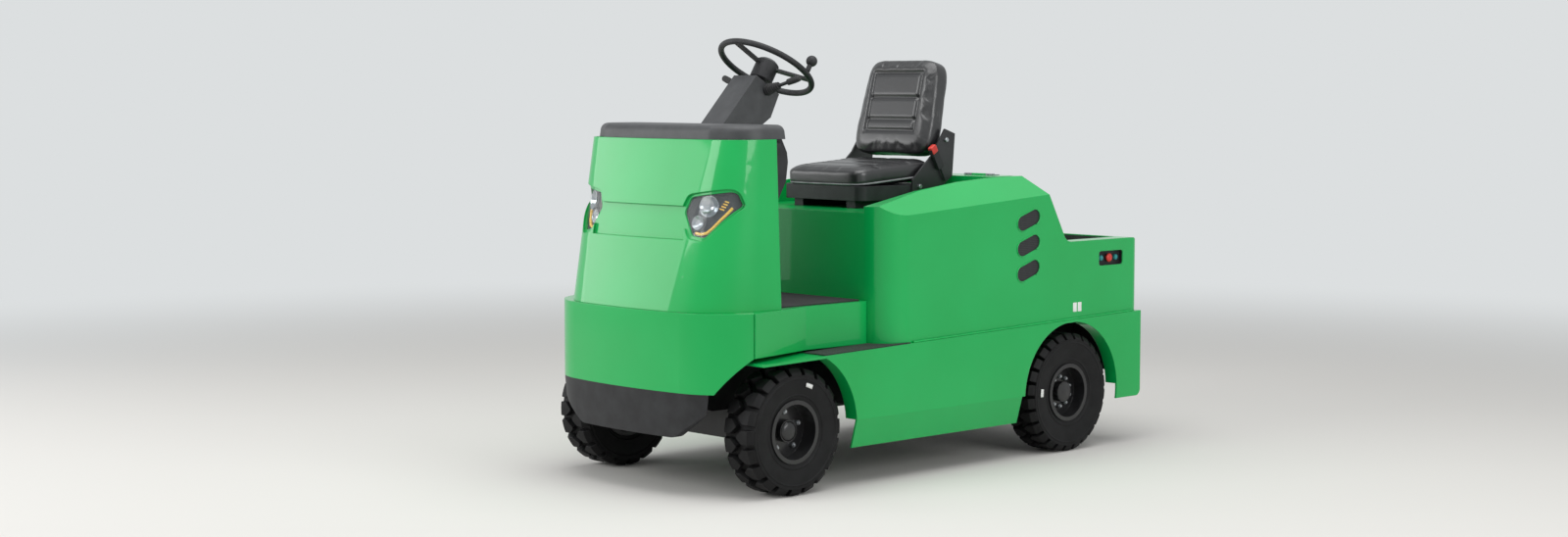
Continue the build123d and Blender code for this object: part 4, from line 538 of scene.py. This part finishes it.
for place in ("front", "rear"):
    for side_name, side in SIDES:
        spot = f"{place}_{side_name}"
        body = f"{spot}_wheel"
        low, high = edges_of(f"tyre_{spot}")
        rim_low, rim_high = edges_of(f"rim_{spot}")
        centre = (low + high) / 2
        radius = (high[2] - low[2]) / 2 + TYRE_OVER_CAD
        bore_r = (rim_high[2] - rim_low[2]) / 2 - RIM_LAP
        flip = np.array([1, side, 1])
        outward = (0, side, 0)
        points, faces = tyre_shape(radius, bore_r, LUGS_IN_ROW[place])
        tyre = (points * flip + centre, faces)
        make_piece(f"dressed_tyre_{spot}", tyre, tyre_rubber, body, [f"tyre_{spot}"])
        moves = []
        for k in range(NUT_COUNT[place]):
            turn = FIRST_NUT_AT + 2 * math.pi * k / NUT_COUNT[place]
            x = centre[0] + NUT_CIRCLE[place] * math.cos(turn)
            z = centre[2] + NUT_CIRCLE[place] * math.sin(turn)
            moves.append(placed((x, side * DISC_Y[place], z), outward))
        nuts = copies(hex_nut(NUT_ACROSS[place], NUT_HIGH, STUD_R, STUD_HIGH), moves)
        make_piece(f"wheel_nuts_{spot}", nuts, zinc, body)
        hub = (centre[0], side * HUB_Y[place], centre[2])
        cap = copies(turned(CAP_PROFILE[place], 48), [placed(hub, outward)])
        make_piece(f"hub_cap_{spot}", cap, wheel_enamel, body)
        turn = MARK_AT[place] + np.linspace(-MARK_HALF, MARK_HALF, MARK_STEPS)[:, None]
        reach = np.array(MARK_RADII)[None, :]
        out = np.full((MARK_STEPS, len(MARK_RADII)), TYRE_HALF + MARK_OUT)
        mark = np.stack([reach * np.sin(turn), out, reach * np.cos(turn)], axis=-1).reshape(-1, 3)
        sheet = (mark * flip + centre, grid_faces(MARK_STEPS, len(MARK_RADII)))
        patch = make_piece(f"sidewall_mark_{spot}", sheet, sticker_vinyl, body)
        thicken = patch.modifiers.new("thickness", "SOLIDIFY")
        thicken.thickness = MARK_THICK * MM
        thicken.offset = 0

# Head lamps: two bright bowls, an amber strip and four short bars in each housing, set square to the lens
LAMP_BOWLS = ((338, 1070, 38, 24), (300, 1010, 25, 18))
BOWL_THICK = 2
BOWL_RIM = 1.5
LAMP_STRIP = ((296, 972), (318, 968), (342, 972), (362, 992), (382, 1018), (402, 1046), (412, 1064))
STRIP_R = 5.5
BAR_COUNT = 4
BAR_TOP = np.array([396, 1086])
BAR_STEP = np.array([-4, -9])
BAR_HALF = 11.0
BAR_DROP = -1.5
BAR_R = 2.6
BOWL_GAP = 8.0
STRIP_GAP = 12.0
BAR_GAP = 9.0
lens = nodes["headlamp_lenses"].data
lens_tree = BVHTree.FromPolygons([v.co for v in lens.vertices], [p.vertices for p in lens.polygons])


def on_lens(y, z):
    """Point and outward direction of the lens in front of a Y and Z, in millimetres."""
    point, normal = lens_tree.ray_cast(Vector((3, y * MM, z * MM)), Vector((-1, 0, 0)))[:2]
    return np.array(point) / MM, np.array(normal)


def bowl(rim_r, depth):
    """Open bowl: its floor lies at -depth * (1 - (r / rim) ** 2), with a rolled rim."""
    r = np.linspace(0, rim_r, 14)
    inside = np.stack([r, -depth * (1 - (r / rim_r) ** 2)], axis=1)
    outside = inside[::-1] + (BOWL_RIM, -BOWL_THICK)
    outside[-1, 0] = 0
    return turned(np.concatenate([inside, [(rim_r + BOWL_RIM, 0.6)], outside]), 48)


for side_name, side in SIDES:
    bowls = []
    for y, z, rim_r, depth in LAMP_BOWLS:
        point, normal = on_lens(side * y, z)
        bowls.append(copies(bowl(rim_r, depth), [placed(point - normal * BOWL_GAP, normal)]))
    make_piece(f"lamp_bowls_{side_name}", joined(*bowls), mirror_plate, "chassis")
    strip = []
    for y, z in LAMP_STRIP:
        point, normal = on_lens(side * y, z)
        strip.append(point - normal * STRIP_GAP)
    bars = []
    for step in range(BAR_COUNT):
        y, z = BAR_TOP + step * BAR_STEP
        point, normal = on_lens(side * y, z)
        across = np.array([0.0, side * BAR_HALF, BAR_DROP])
        across -= normal * (across @ normal)
        middle = point - normal * BAR_GAP
        bars.append(tube([middle - across, middle, middle + across], BAR_R, 8))
    light_pipe = joined(tube(strip, STRIP_R, 10), *bars)
    make_piece(f"lamp_strip_{side_name}", light_pipe, amber_lens, "chassis")

# Steering column: a domed boss on the wheel's hub, and ribbed boots and grips on the levers
LEAN = math.radians(31.6)
COLUMN_UP = np.array([-math.sin(LEAN), 0, math.cos(LEAN)])
WHEEL_HUB = np.array([485.0, 0, 1578])
BOSS_UP = 18
BOSS_PROFILE = [(0, 15), (18, 14), (32, 11), (40, 5.5), (43, 0), (42, -5), (0, -5)]
LEVER_DOWN = 102
LEVER_OUT = 65
BOOT_LONG = 58
BOOT_R = 22
BOOT_TAPER = 0.17
FOLD_HIGH = 2.6
FOLD_PITCH = 9.0
GRIP_PROFILE = [(0, 100), (9, 100), (12.5, 104), (13.5, 135), (12.5, 158), (8, 163), (0, 164)]
boss = copies(turned(BOSS_PROFILE, 48), [placed(WHEEL_HUB + COLUMN_UP * BOSS_UP, COLUMN_UP, TO_LEFT)])
make_piece("steering_boss", boss, grey_plastic, "steering")
height = np.linspace(0, BOOT_LONG, BOOT_LONG + 1)
folds = BOOT_R - BOOT_TAPER * height + FOLD_HIGH * np.sin(2 * math.pi * height / FOLD_PITCH)
boot = turned(np.c_[np.r_[0, folds, 0], np.r_[0, height, BOOT_LONG]], 28)
moves = []
for side_name, side in SIDES:
    root = WHEEL_HUB - COLUMN_UP * LEVER_DOWN + np.array([0, side * LEVER_OUT, 0])
    moves.append(placed(root, (-0.18, side, 0.3)))
boots = copies(joined(boot, turned(GRIP_PROFILE, 24)), moves)
make_piece("lever_boots", boots, mat_rubber, "chassis")

# Dash pad: a padded cap on the cowl's top, with round shoulders and a slight crown
PAD_FOOT_Z = 1311.0
PAD_TOP_Z = 1366.0
PAD_STEPS = 240
PAD_MIDDLE = np.array([935.0, 0.0])
PAD_NOSE_X = 1037
PAD_BOW_DEPTH = 40
PAD_BOW_HALF = 446
PAD_BOW_REACH = 290
PAD_CORNER = np.array([897, 306])
PAD_CORNER_R = 100
PAD_REAR_X = 815
PAD_REAR_Y = 406
PAD_MARGIN = 40
PAD_FOOT_INSET = 3.0
PAD_SIDE_INSET = 6
PAD_SHOULDER_R = 30
PAD_CROWN = 2


def pad_outline(inset):
    """Plan of the pad: for each direction, the furthest of the held points, moved out by margin - inset."""
    turn = np.linspace(-math.pi, math.pi, PAD_STEPS, endpoint=False)
    ways = np.stack([np.cos(turn), np.sin(turn)], axis=1)
    corner = np.linspace(0, math.pi / 2, 24)
    left = PAD_CORNER + PAD_CORNER_R * np.stack([np.cos(corner), np.sin(corner)], axis=1)
    bow_y = np.linspace(-PAD_BOW_REACH, PAD_BOW_REACH, 25)
    bow = np.stack([PAD_NOSE_X - PAD_BOW_DEPTH * (bow_y / PAD_BOW_HALF) ** 2, bow_y], axis=1)
    rear = [(PAD_REAR_X, PAD_REAR_Y), (PAD_REAR_X, -PAD_REAR_Y)]
    held = np.concatenate([left, left * (1, -1), bow, rear])
    return held[np.argmax(ways @ held.T, axis=1)] + (PAD_MARGIN - inset) * ways


def pad_ring(plan, z):
    """Ring of the pad's points at a height, from its plan."""
    return np.c_[plan, np.full(PAD_STEPS, z)]


lift = np.linspace(0, math.pi / 2, 9)
shoulder_in = PAD_SIDE_INSET + PAD_SHOULDER_R * (1 - np.cos(lift))
shoulder_z = PAD_TOP_Z - PAD_CROWN - PAD_SHOULDER_R + PAD_SHOULDER_R * np.sin(lift)
rings = [pad_ring(np.repeat(PAD_MIDDLE[None], PAD_STEPS, axis=0), PAD_FOOT_Z)]
rings.append(pad_ring(pad_outline(PAD_FOOT_INSET), PAD_FOOT_Z))
rings += [pad_ring(pad_outline(inset), z) for inset, z in zip(shoulder_in, shoulder_z)]
inner = pad_outline(shoulder_in[-1])
for share in (0.85, 0.6, 0.3, 0.0):
    rings.append(pad_ring(PAD_MIDDLE + share * (inner - PAD_MIDDLE), PAD_TOP_Z - PAD_CROWN * share**2))
dash_cap = (np.concatenate(rings), grid_faces(len(rings), PAD_STEPS, close_columns=True))
make_piece("dash_pad", dash_cap, grey_plastic, "chassis")

# Floor mat: rounded ribs along the foot well
RIB_PITCH = 14.0
RIB_HIGH = 2.6
RIB_FOOT = 1.0
RIB_SUNK = 1.4
low, high = edges_of("floor_mat")
y = np.arange(low[1] + 16, high[1] - 15, RIB_PITCH / 6)
x = np.array([low[0] + 14, low[0] + 15, high[0] - 15, high[0] - 14])[:, None]
ends = np.array([0, 1, 1, 0])[:, None]
wave = np.maximum(np.sin(2 * math.pi * y / RIB_PITCH), 0)
wave[[0, -1]] = 0
height = high[2] - RIB_SUNK + ends * (RIB_FOOT * (wave > 0) + RIB_HIGH * wave)[None, :]
ribs = np.stack(np.broadcast_arrays(x, y[None, :], height), axis=-1).reshape(-1, 3)
rib_faces = grid_faces(len(x), len(y), close_rows=True)
make_piece("mat_ribs", (ribs, rib_faces), mat_rubber, "chassis")

# Controls: a mushroom stop button and two domed push buttons
MUSHROOM_PROFILE = [
    (0, 18), (8, 17.4), (14, 15.6), (17.5, 12.6), (18.5, 10), (17.8, 8.4), (12.5, 7.6), (12.5, 0), (0, 0),
]
PUSH_R = 12
PUSH_PROFILE = [
    (0, 10.6), (6, 10.3), (9, 9.4), (9.4, 7), (10, 7),
    (10.4, 8.2), (11.6, 8), (PUSH_R, 6.6), (PUSH_R, 0), (0, 0),
]
low, high = edges_of("stop_button")
mid = (low + high) / 2
mushroom = copies(turned(MUSHROOM_PROFILE, 40), [placed((mid[0], low[1], mid[2]), TO_LEFT)])
make_piece("stop_mushroom", mushroom, red_plastic, "chassis", ["stop_button"])
low, high = edges_of("push_buttons")
mid = (low + high) / 2
moves = [placed((x, low[1], mid[2]), TO_LEFT) for x in (low[0] + PUSH_R, high[0] - PUSH_R)]
caps = copies(turned(PUSH_PROFILE, 32), moves)
make_piece("push_caps", caps, teal_plastic, "chassis", ["push_buttons"])

# Fasteners: bolts on the seat brackets, nuts on the hitch plate and round-headed screws on the hinges
HITCH_FACE_X = -1165
HITCH_BOLT_Y = 75
HITCH_BOLT_IN = 25
HINGE_TOP_Z = 1143
HINGE_Y = 250
HINGE_SCREW_STEP = 55
SCREW_PROFILE = [(0, 2.6), (3, 2.3), (5.5, 0.9), (5.8, 0), (0, 0)]
low, high = edges_of("seat_brackets")
moves = []
for x, z in ((low[0] + 55, high[2] - 45), (low[0] + 95, high[2] - 150), (high[0] - 40, low[2] + 35)):
    moves += [placed((x, high[1], z), TO_LEFT), placed((x, low[1], z), TO_RIGHT)]
make_piece("seat_bolts", copies(hex_head(17, 9), moves), zinc, "hood")
low, high = edges_of("tow_hitch")
moves = []
for y in (-HITCH_BOLT_Y, HITCH_BOLT_Y):
    for z in (low[2] + HITCH_BOLT_IN, (low[2] + high[2]) / 2, high[2] - HITCH_BOLT_IN):
        moves.append(placed((HITCH_FACE_X, y, z), TO_REAR))
make_piece("hitch_bolts", copies(hex_nut(24, 12, 8, 4), moves), zinc, "chassis")
low, high = edges_of("hood_hinges")
moves = []
for hinge_y in (-HINGE_Y, HINGE_Y):
    for step in (-1, 0, 1):
        y = hinge_y + step * HINGE_SCREW_STEP
        moves.append(placed((low[0] + 9, y, HINGE_TOP_Z), UPWARD, TO_LEFT))
make_piece("hinge_screws", copies(turned(SCREW_PROFILE, 16), moves), zinc, "chassis")

# Seat belt: the buckle's red release button and its stalk
BUCKLE_LEAN = math.radians(30)
PRESS_UP = 37
low, high = edges_of("belt_buckle")
buckle_up = np.array([math.sin(BUCKLE_LEAN), 0, math.cos(BUCKLE_LEAN)])
buckle_mid = (low + high) / 2
press_move = placed(buckle_mid + buckle_up * PRESS_UP, buckle_up, TO_LEFT)
press = copies(soft_box((17, 10.5, 17), (0.3, 0.3), 17, 40), [press_move])
make_piece("buckle_press", press, red_plastic, "hood")
stalk = buckle_mid - buckle_up * np.linspace(45, 110, 5)[:, None]
make_piece("buckle_stalk", tube(stalk, 5.0, 12), black_plastic, "hood")

# Ledge seams: a thin wavy bead of sealer where the body meets each ledge
LEDGE_FRONT_X = 1030
LEDGE_FRONT_Z = 503
LEDGE_REAR_X = -1150
LEDGE_REAR_Z = 557
SEAM_Y = 566
SEAM_R = 4.5
SEAM_UP = 2.5
x = np.linspace(240, -1100, 270)
wave = 0.5 * np.sin(x / 9.0) + 0.3 * np.sin(x / 23.0)
slope = (LEDGE_REAR_Z - LEDGE_FRONT_Z) / (LEDGE_FRONT_X - LEDGE_REAR_X)
seam_z = LEDGE_FRONT_Z + slope * (LEDGE_FRONT_X - x) + SEAM_UP
for side_name, side in SIDES:
    path = np.stack([x, np.full(len(x), side * SEAM_Y), seam_z], axis=1)
    make_piece(f"ledge_seam_{side_name}", tube(path, SEAM_R + wave, 8), enamel, "chassis")

# Vent rims: a rolled green edge round each slot
VENT_X = -437.0
VENT_Y = 560.5
VENT_LEVELS = (967.0, 865.0, 763.0)
VENT_STRAIGHT = 39.0
VENT_ROUND = 32.0
VENT_TILT = math.radians(18)
VENT_RIM_R = 2.6
turn = np.linspace(-math.pi / 2, math.pi * 1.5, 97)
along = VENT_ROUND * np.cos(turn) + VENT_STRAIGHT * np.sign(np.cos(turn))
over = VENT_ROUND * np.sin(turn)
x = VENT_X - along * math.cos(VENT_TILT) + over * math.sin(VENT_TILT)
z = along * math.sin(VENT_TILT) + over * math.cos(VENT_TILT)
rims = []
for side_name, side in SIDES:
    for level in VENT_LEVELS:
        path = np.stack([x, np.full(len(x), side * VENT_Y), level + z], axis=1)
        rims.append(tube(path, VENT_RIM_R, 8))
make_piece("vent_rims", joined(*rims), enamel, "chassis")

# Blank sticker of two pale panels low on the left side of the body
STICKER_X = (-732, -762)
STICKER_Y = 560.3
STICKER_Z = 596
panel = soft_box((12, 19, 0.5), (0.15, 0.6), 9, 32)
for index, x in enumerate(STICKER_X):
    sticker = copies(panel, [placed((x, STICKER_Y, STICKER_Z), TO_LEFT)])
    make_piece(f"blank_sticker_{index}", sticker, sticker_vinyl, "chassis")

# Upholstery: pillow forms swollen by a cloth simulation, then sewn panels and pleats, then one subdivision
CLOTH_VOXEL = 6
CLOTH_PRESSURE = 4
CLOTH_STEPS = 20
SEAM_WIDTH = 7.0
PANEL_EDGE = 8.0
PLEAT_SHARE = 0.9
PANEL_SHARE = 0.35


def swell(obj, most):
    """Inflates a closed form by cloth pressure; no point moves further than most millimetres."""
    remesh = obj.modifiers.new("even_mesh", "REMESH")
    remesh.mode = "VOXEL"
    remesh.voxel_size = CLOTH_VOXEL * MM
    bpy.context.view_layer.objects.active = obj
    bpy.ops.object.modifier_apply(modifier=remesh.name)
    start = np.zeros(3 * len(obj.data.vertices))
    obj.data.vertices.foreach_get("co", start)
    cloth = obj.modifiers.new("inflate", "CLOTH")
    cloth.settings.use_pressure = True
    cloth.settings.uniform_pressure_force = CLOTH_PRESSURE
    cloth.settings.effector_weights.gravity = 0
    cloth.settings.quality = 4
    scene = bpy.context.scene
    for step in range(1, CLOTH_STEPS + 1):
        scene.frame_set(step)
    shaped = obj.evaluated_get(bpy.context.evaluated_depsgraph_get())
    end = np.zeros(len(start))
    shaped.data.vertices.foreach_get("co", end)
    obj.modifiers.remove(cloth)
    scene.frame_set(1)
    move = (end - start).reshape(-1, 3)
    reach = np.linalg.norm(move, axis=1, keepdims=True)
    move *= np.minimum(1, most * MM / np.maximum(reach, 1e-9))
    obj.data.vertices.foreach_set("co", start + move.ravel())
    obj.data.update()


def sew(obj, across, up, outward, origin, half, pleats, depth):
    """Sinks a panel's frame and its level pleats as valleys of depth * exp(-(distance / 7) ** 2)."""
    flat = np.zeros(3 * len(obj.data.vertices))
    obj.data.vertices.foreach_get("co", flat)
    points = flat.reshape(-1, 3) / MM
    local = points - np.asarray(origin)
    a = local @ np.asarray(across)
    b = local @ np.asarray(up)
    facing = np.zeros(len(flat))
    obj.data.vertices.foreach_get("normal", facing)
    front = np.clip((facing.reshape(-1, 3) @ np.asarray(outward)) * 2 - 0.4, 0, 1)
    inside = np.maximum(np.abs(a) / half[0], np.abs(b) / half[1])
    frame_line = np.exp(-(((inside - 1) * min(half) / SEAM_WIDTH) ** 2))
    panel = 0.5 - 0.5 * np.tanh((inside - 1) * min(half) / PANEL_EDGE)
    lines = sum(np.exp(-(((b - level) / SEAM_WIDTH) ** 2)) for level in pleats) * (inside < 1)
    sink = depth * front * (frame_line + PLEAT_SHARE * lines + PANEL_SHARE * panel)
    points -= sink[:, None] * np.asarray(outward)
    obj.data.vertices.foreach_set("co", (points * MM).ravel())
    obj.data.update()


def cushion(name, shape, move, most, panel, replaced):
    """One upholstered piece on the hood: pillow form, swelling, sewing, one subdivision."""
    obj = make_piece(name, copies(shape, [move]), vinyl, "hood", [replaced])
    swell(obj, most)
    sew(obj, *panel)
    obj.data.shade_smooth()
    smooth = obj.modifiers.new("smooth", "SUBSURF")
    smooth.levels = 1
    smooth.render_levels = 1


# Seat pad: a flat pillow that falls a little towards the front of its base
SEAT_HALF = (217, 221, 39)
SEAT_PANEL_HALF = (165, 160)
SEAT_PLEATS = (-55, 55)
SEAT_SEAM_DEPTH = 6
SEAT_MOST = 7
SEAT_TILT = math.atan2(32, 445)
low, high = edges_of("seat_cushion")
seat_fore = np.array([math.cos(SEAT_TILT), 0, -math.sin(SEAT_TILT)])
seat_up = np.array([math.sin(SEAT_TILT), 0, math.cos(SEAT_TILT)])
seat_mid = np.array([(low[0] + high[0]) / 2, 0, low[2] + 45])
seat_move = turned_axes(seat_fore, TO_LEFT, seat_up, seat_mid)
seat_shape = soft_box(SEAT_HALF, (0.22, 0.34), 40, 160)
seat_panel = (TO_LEFT, seat_fore, seat_up, seat_mid, SEAT_PANEL_HALF, SEAT_PLEATS, SEAT_SEAM_DEPTH)
cushion("seat_pad", seat_shape, seat_move, SEAT_MOST, seat_panel, "seat_cushion")

# Back pad: an upright pillow that leans back and narrows towards its top
BACK_HALF = (54, 216, 203)
BACK_NARROWING = 0.09
BACK_PANEL_HALF = (136, 122)
BACK_PANEL_UP = 16
BACK_PLEATS = (18, -75)
BACK_SEAM_DEPTH = 9
BACK_MOST = 8
RECLINE = math.radians(13.5)
low, high = edges_of("seat_back")
back_up = np.array([-math.sin(RECLINE), 0, math.cos(RECLINE)])
back_front = np.array([math.cos(RECLINE), 0, math.sin(RECLINE)])
back_mid = np.array([(low[0] + high[0]) / 2 - 4, 0, (low[2] + high[2]) / 2 - 3])
back_move = turned_axes(back_front, TO_LEFT, back_up, back_mid)
points, faces = soft_box(BACK_HALF, (0.42, 0.28), 60, 160)
points[:, 1] *= 1 - BACK_NARROWING * np.clip(points[:, 2] / BACK_HALF[2], -0.2, 1)
panel_mid = back_mid + BACK_PANEL_UP * back_up
back_panel = (TO_LEFT, back_up, back_front, panel_mid, BACK_PANEL_HALF, BACK_PLEATS, BACK_SEAM_DEPTH)
cushion("back_pad", (points, faces), back_move, BACK_MOST, back_panel, "seat_back")

# Piping along the lower edge of the seat pad
PIPING_HALF = (214, 217)
PIPING_ROUNDNESS = 0.28
PIPING_Z = -24.0
PIPING_R = 3.5
turn = np.linspace(-math.pi, math.pi, 161)
x = PIPING_HALF[0] * power(np.cos(turn), PIPING_ROUNDNESS)
y = PIPING_HALF[1] * power(np.sin(turn), PIPING_ROUNDNESS)
rim = np.stack([x, y, np.full(len(turn), PIPING_Z)], axis=1) @ seat_move[:3, :3].T + seat_mid
make_piece("seat_piping", tube(rim, PIPING_R, 8), piping_vinyl, "hood")

# Floor: matt pale paper that keeps the shadow and fades into the pale surround
SURROUND = linear("#DCDFE0")
FLOOR_HALF = 60.0
FADE_FROM = 3.0
FADE_TO = 9.0
corners = [(x * FLOOR_HALF, y * FLOOR_HALF, 0) for x, y in ((-1, -1), (1, -1), (1, 1), (-1, 1))]
floor_mesh = bpy.data.meshes.new("floor")
floor_mesh.from_pydata(corners, [], [(0, 1, 2, 3)])
floor = bpy.data.objects.new("floor", floor_mesh)
bpy.context.scene.collection.objects.link(floor)
paper, tree, shader, place = material("matt_paper_sweep", Roughness=0.9, Base_Color=linear("#D2D0CC"))
distance = add(tree, "ShaderNodeVectorMath", {0: place}, operation="LENGTH")
fade = add(
    tree,
    "ShaderNodeMapRange",
    {"Value": distance.outputs["Value"], "From Min": FADE_FROM, "From Max": FADE_TO},
    interpolation_type="SMOOTHSTEP",
)
glow = add(tree, "ShaderNodeEmission", {"Color": SURROUND, "Strength": 1.0})
blend = add(
    tree,
    "ShaderNodeMixShader",
    {0: fade.outputs["Result"], 1: shader.outputs["BSDF"], 2: glow.outputs["Emission"]},
)
tree.links.new(blend.outputs["Shader"], tree.nodes["Material Output"].inputs["Surface"])
floor_mesh.materials.append(paper)

# World: seen as the pale surround, and giving a dimmer even light
EVEN_LIGHT = 0.55
world = bpy.data.worlds.new("studio")
bpy.context.scene.world = world
world.use_nodes = True
tree = world.node_tree
light = tree.nodes["Background"]
light.inputs["Color"].default_value = linear("#E6E8EA")
light.inputs["Strength"].default_value = EVEN_LIGHT
seen = add(tree, "ShaderNodeBackground", {"Color": SURROUND, "Strength": 1.0})
rays = add(tree, "ShaderNodeLightPath").outputs
mirrored = add(
    tree,
    "ShaderNodeMath",
    {0: rays["Is Glossy Ray"], 1: rays["Is Transmission Ray"]},
    operation="ADD",
)
direct = add(
    tree,
    "ShaderNodeMath",
    {0: rays["Is Camera Ray"], 1: mirrored.outputs["Value"]},
    operation="ADD",
    use_clamp=True,
)
sky = add(
    tree,
    "ShaderNodeMixShader",
    {0: direct.outputs["Value"], 1: light.outputs["Background"], 2: seen.outputs["Background"]},
)
tree.links.new(sky.outputs["Shader"], tree.nodes["World Output"].inputs["Surface"])


# Lamps: large soft boxes, and a card at the front right for the sheen on the cowl
def area_light(name, place, aim, size, watts):
    """Rectangular lamp at a place, turned to a point, in metres."""
    lamp = bpy.data.lights.new(name, "AREA")
    lamp.shape = "RECTANGLE"
    lamp.size, lamp.size_y = size
    lamp.energy = watts
    obj = bpy.data.objects.new(name, lamp)
    bpy.context.scene.collection.objects.link(obj)
    obj.location = place
    obj.rotation_euler = (Vector(aim) - Vector(place)).to_track_quat("-Z", "Y").to_euler()


area_light("front_right_card", place=(4.6, -5.0, 2.0), aim=(0.9, 0, 1.0), size=(4.5, 2.4), watts=100)
area_light("overhead_box", place=(0.5, 1.0, 5.5), aim=(0, 0, 0.8), size=(5, 5), watts=225)
area_light("front_box", place=(7.0, -1.5, 4.0), aim=(0.6, 0, 0.9), size=(3.5, 3.0), watts=185)
area_light("side_box", place=(0.0, 7.0, 3.0), aim=(0, 0, 0.7), size=(4.0, 2.5), watts=140)

# Camera at the photograph's place, from its fitted position, heading, pitch and focal length
CAMERA_AT = (6.673, 6.672, 1.512)
HEADING = math.radians(46.716)
PITCH = math.radians(4.538)
SENSOR = 36
FOCAL_LENGTH = 53.25
camera_data = bpy.data.cameras.new("photo_camera")
camera_data.sensor_width = SENSOR
camera_data.lens = FOCAL_LENGTH
camera = bpy.data.objects.new("photo_camera", camera_data)
bpy.context.scene.collection.objects.link(camera)
camera.location = CAMERA_AT
camera.rotation_euler = (math.pi / 2 - PITCH, 0, math.pi / 2 + HEADING)
bpy.context.scene.camera = camera
bpy.context.scene.view_settings.view_transform = "Standard"
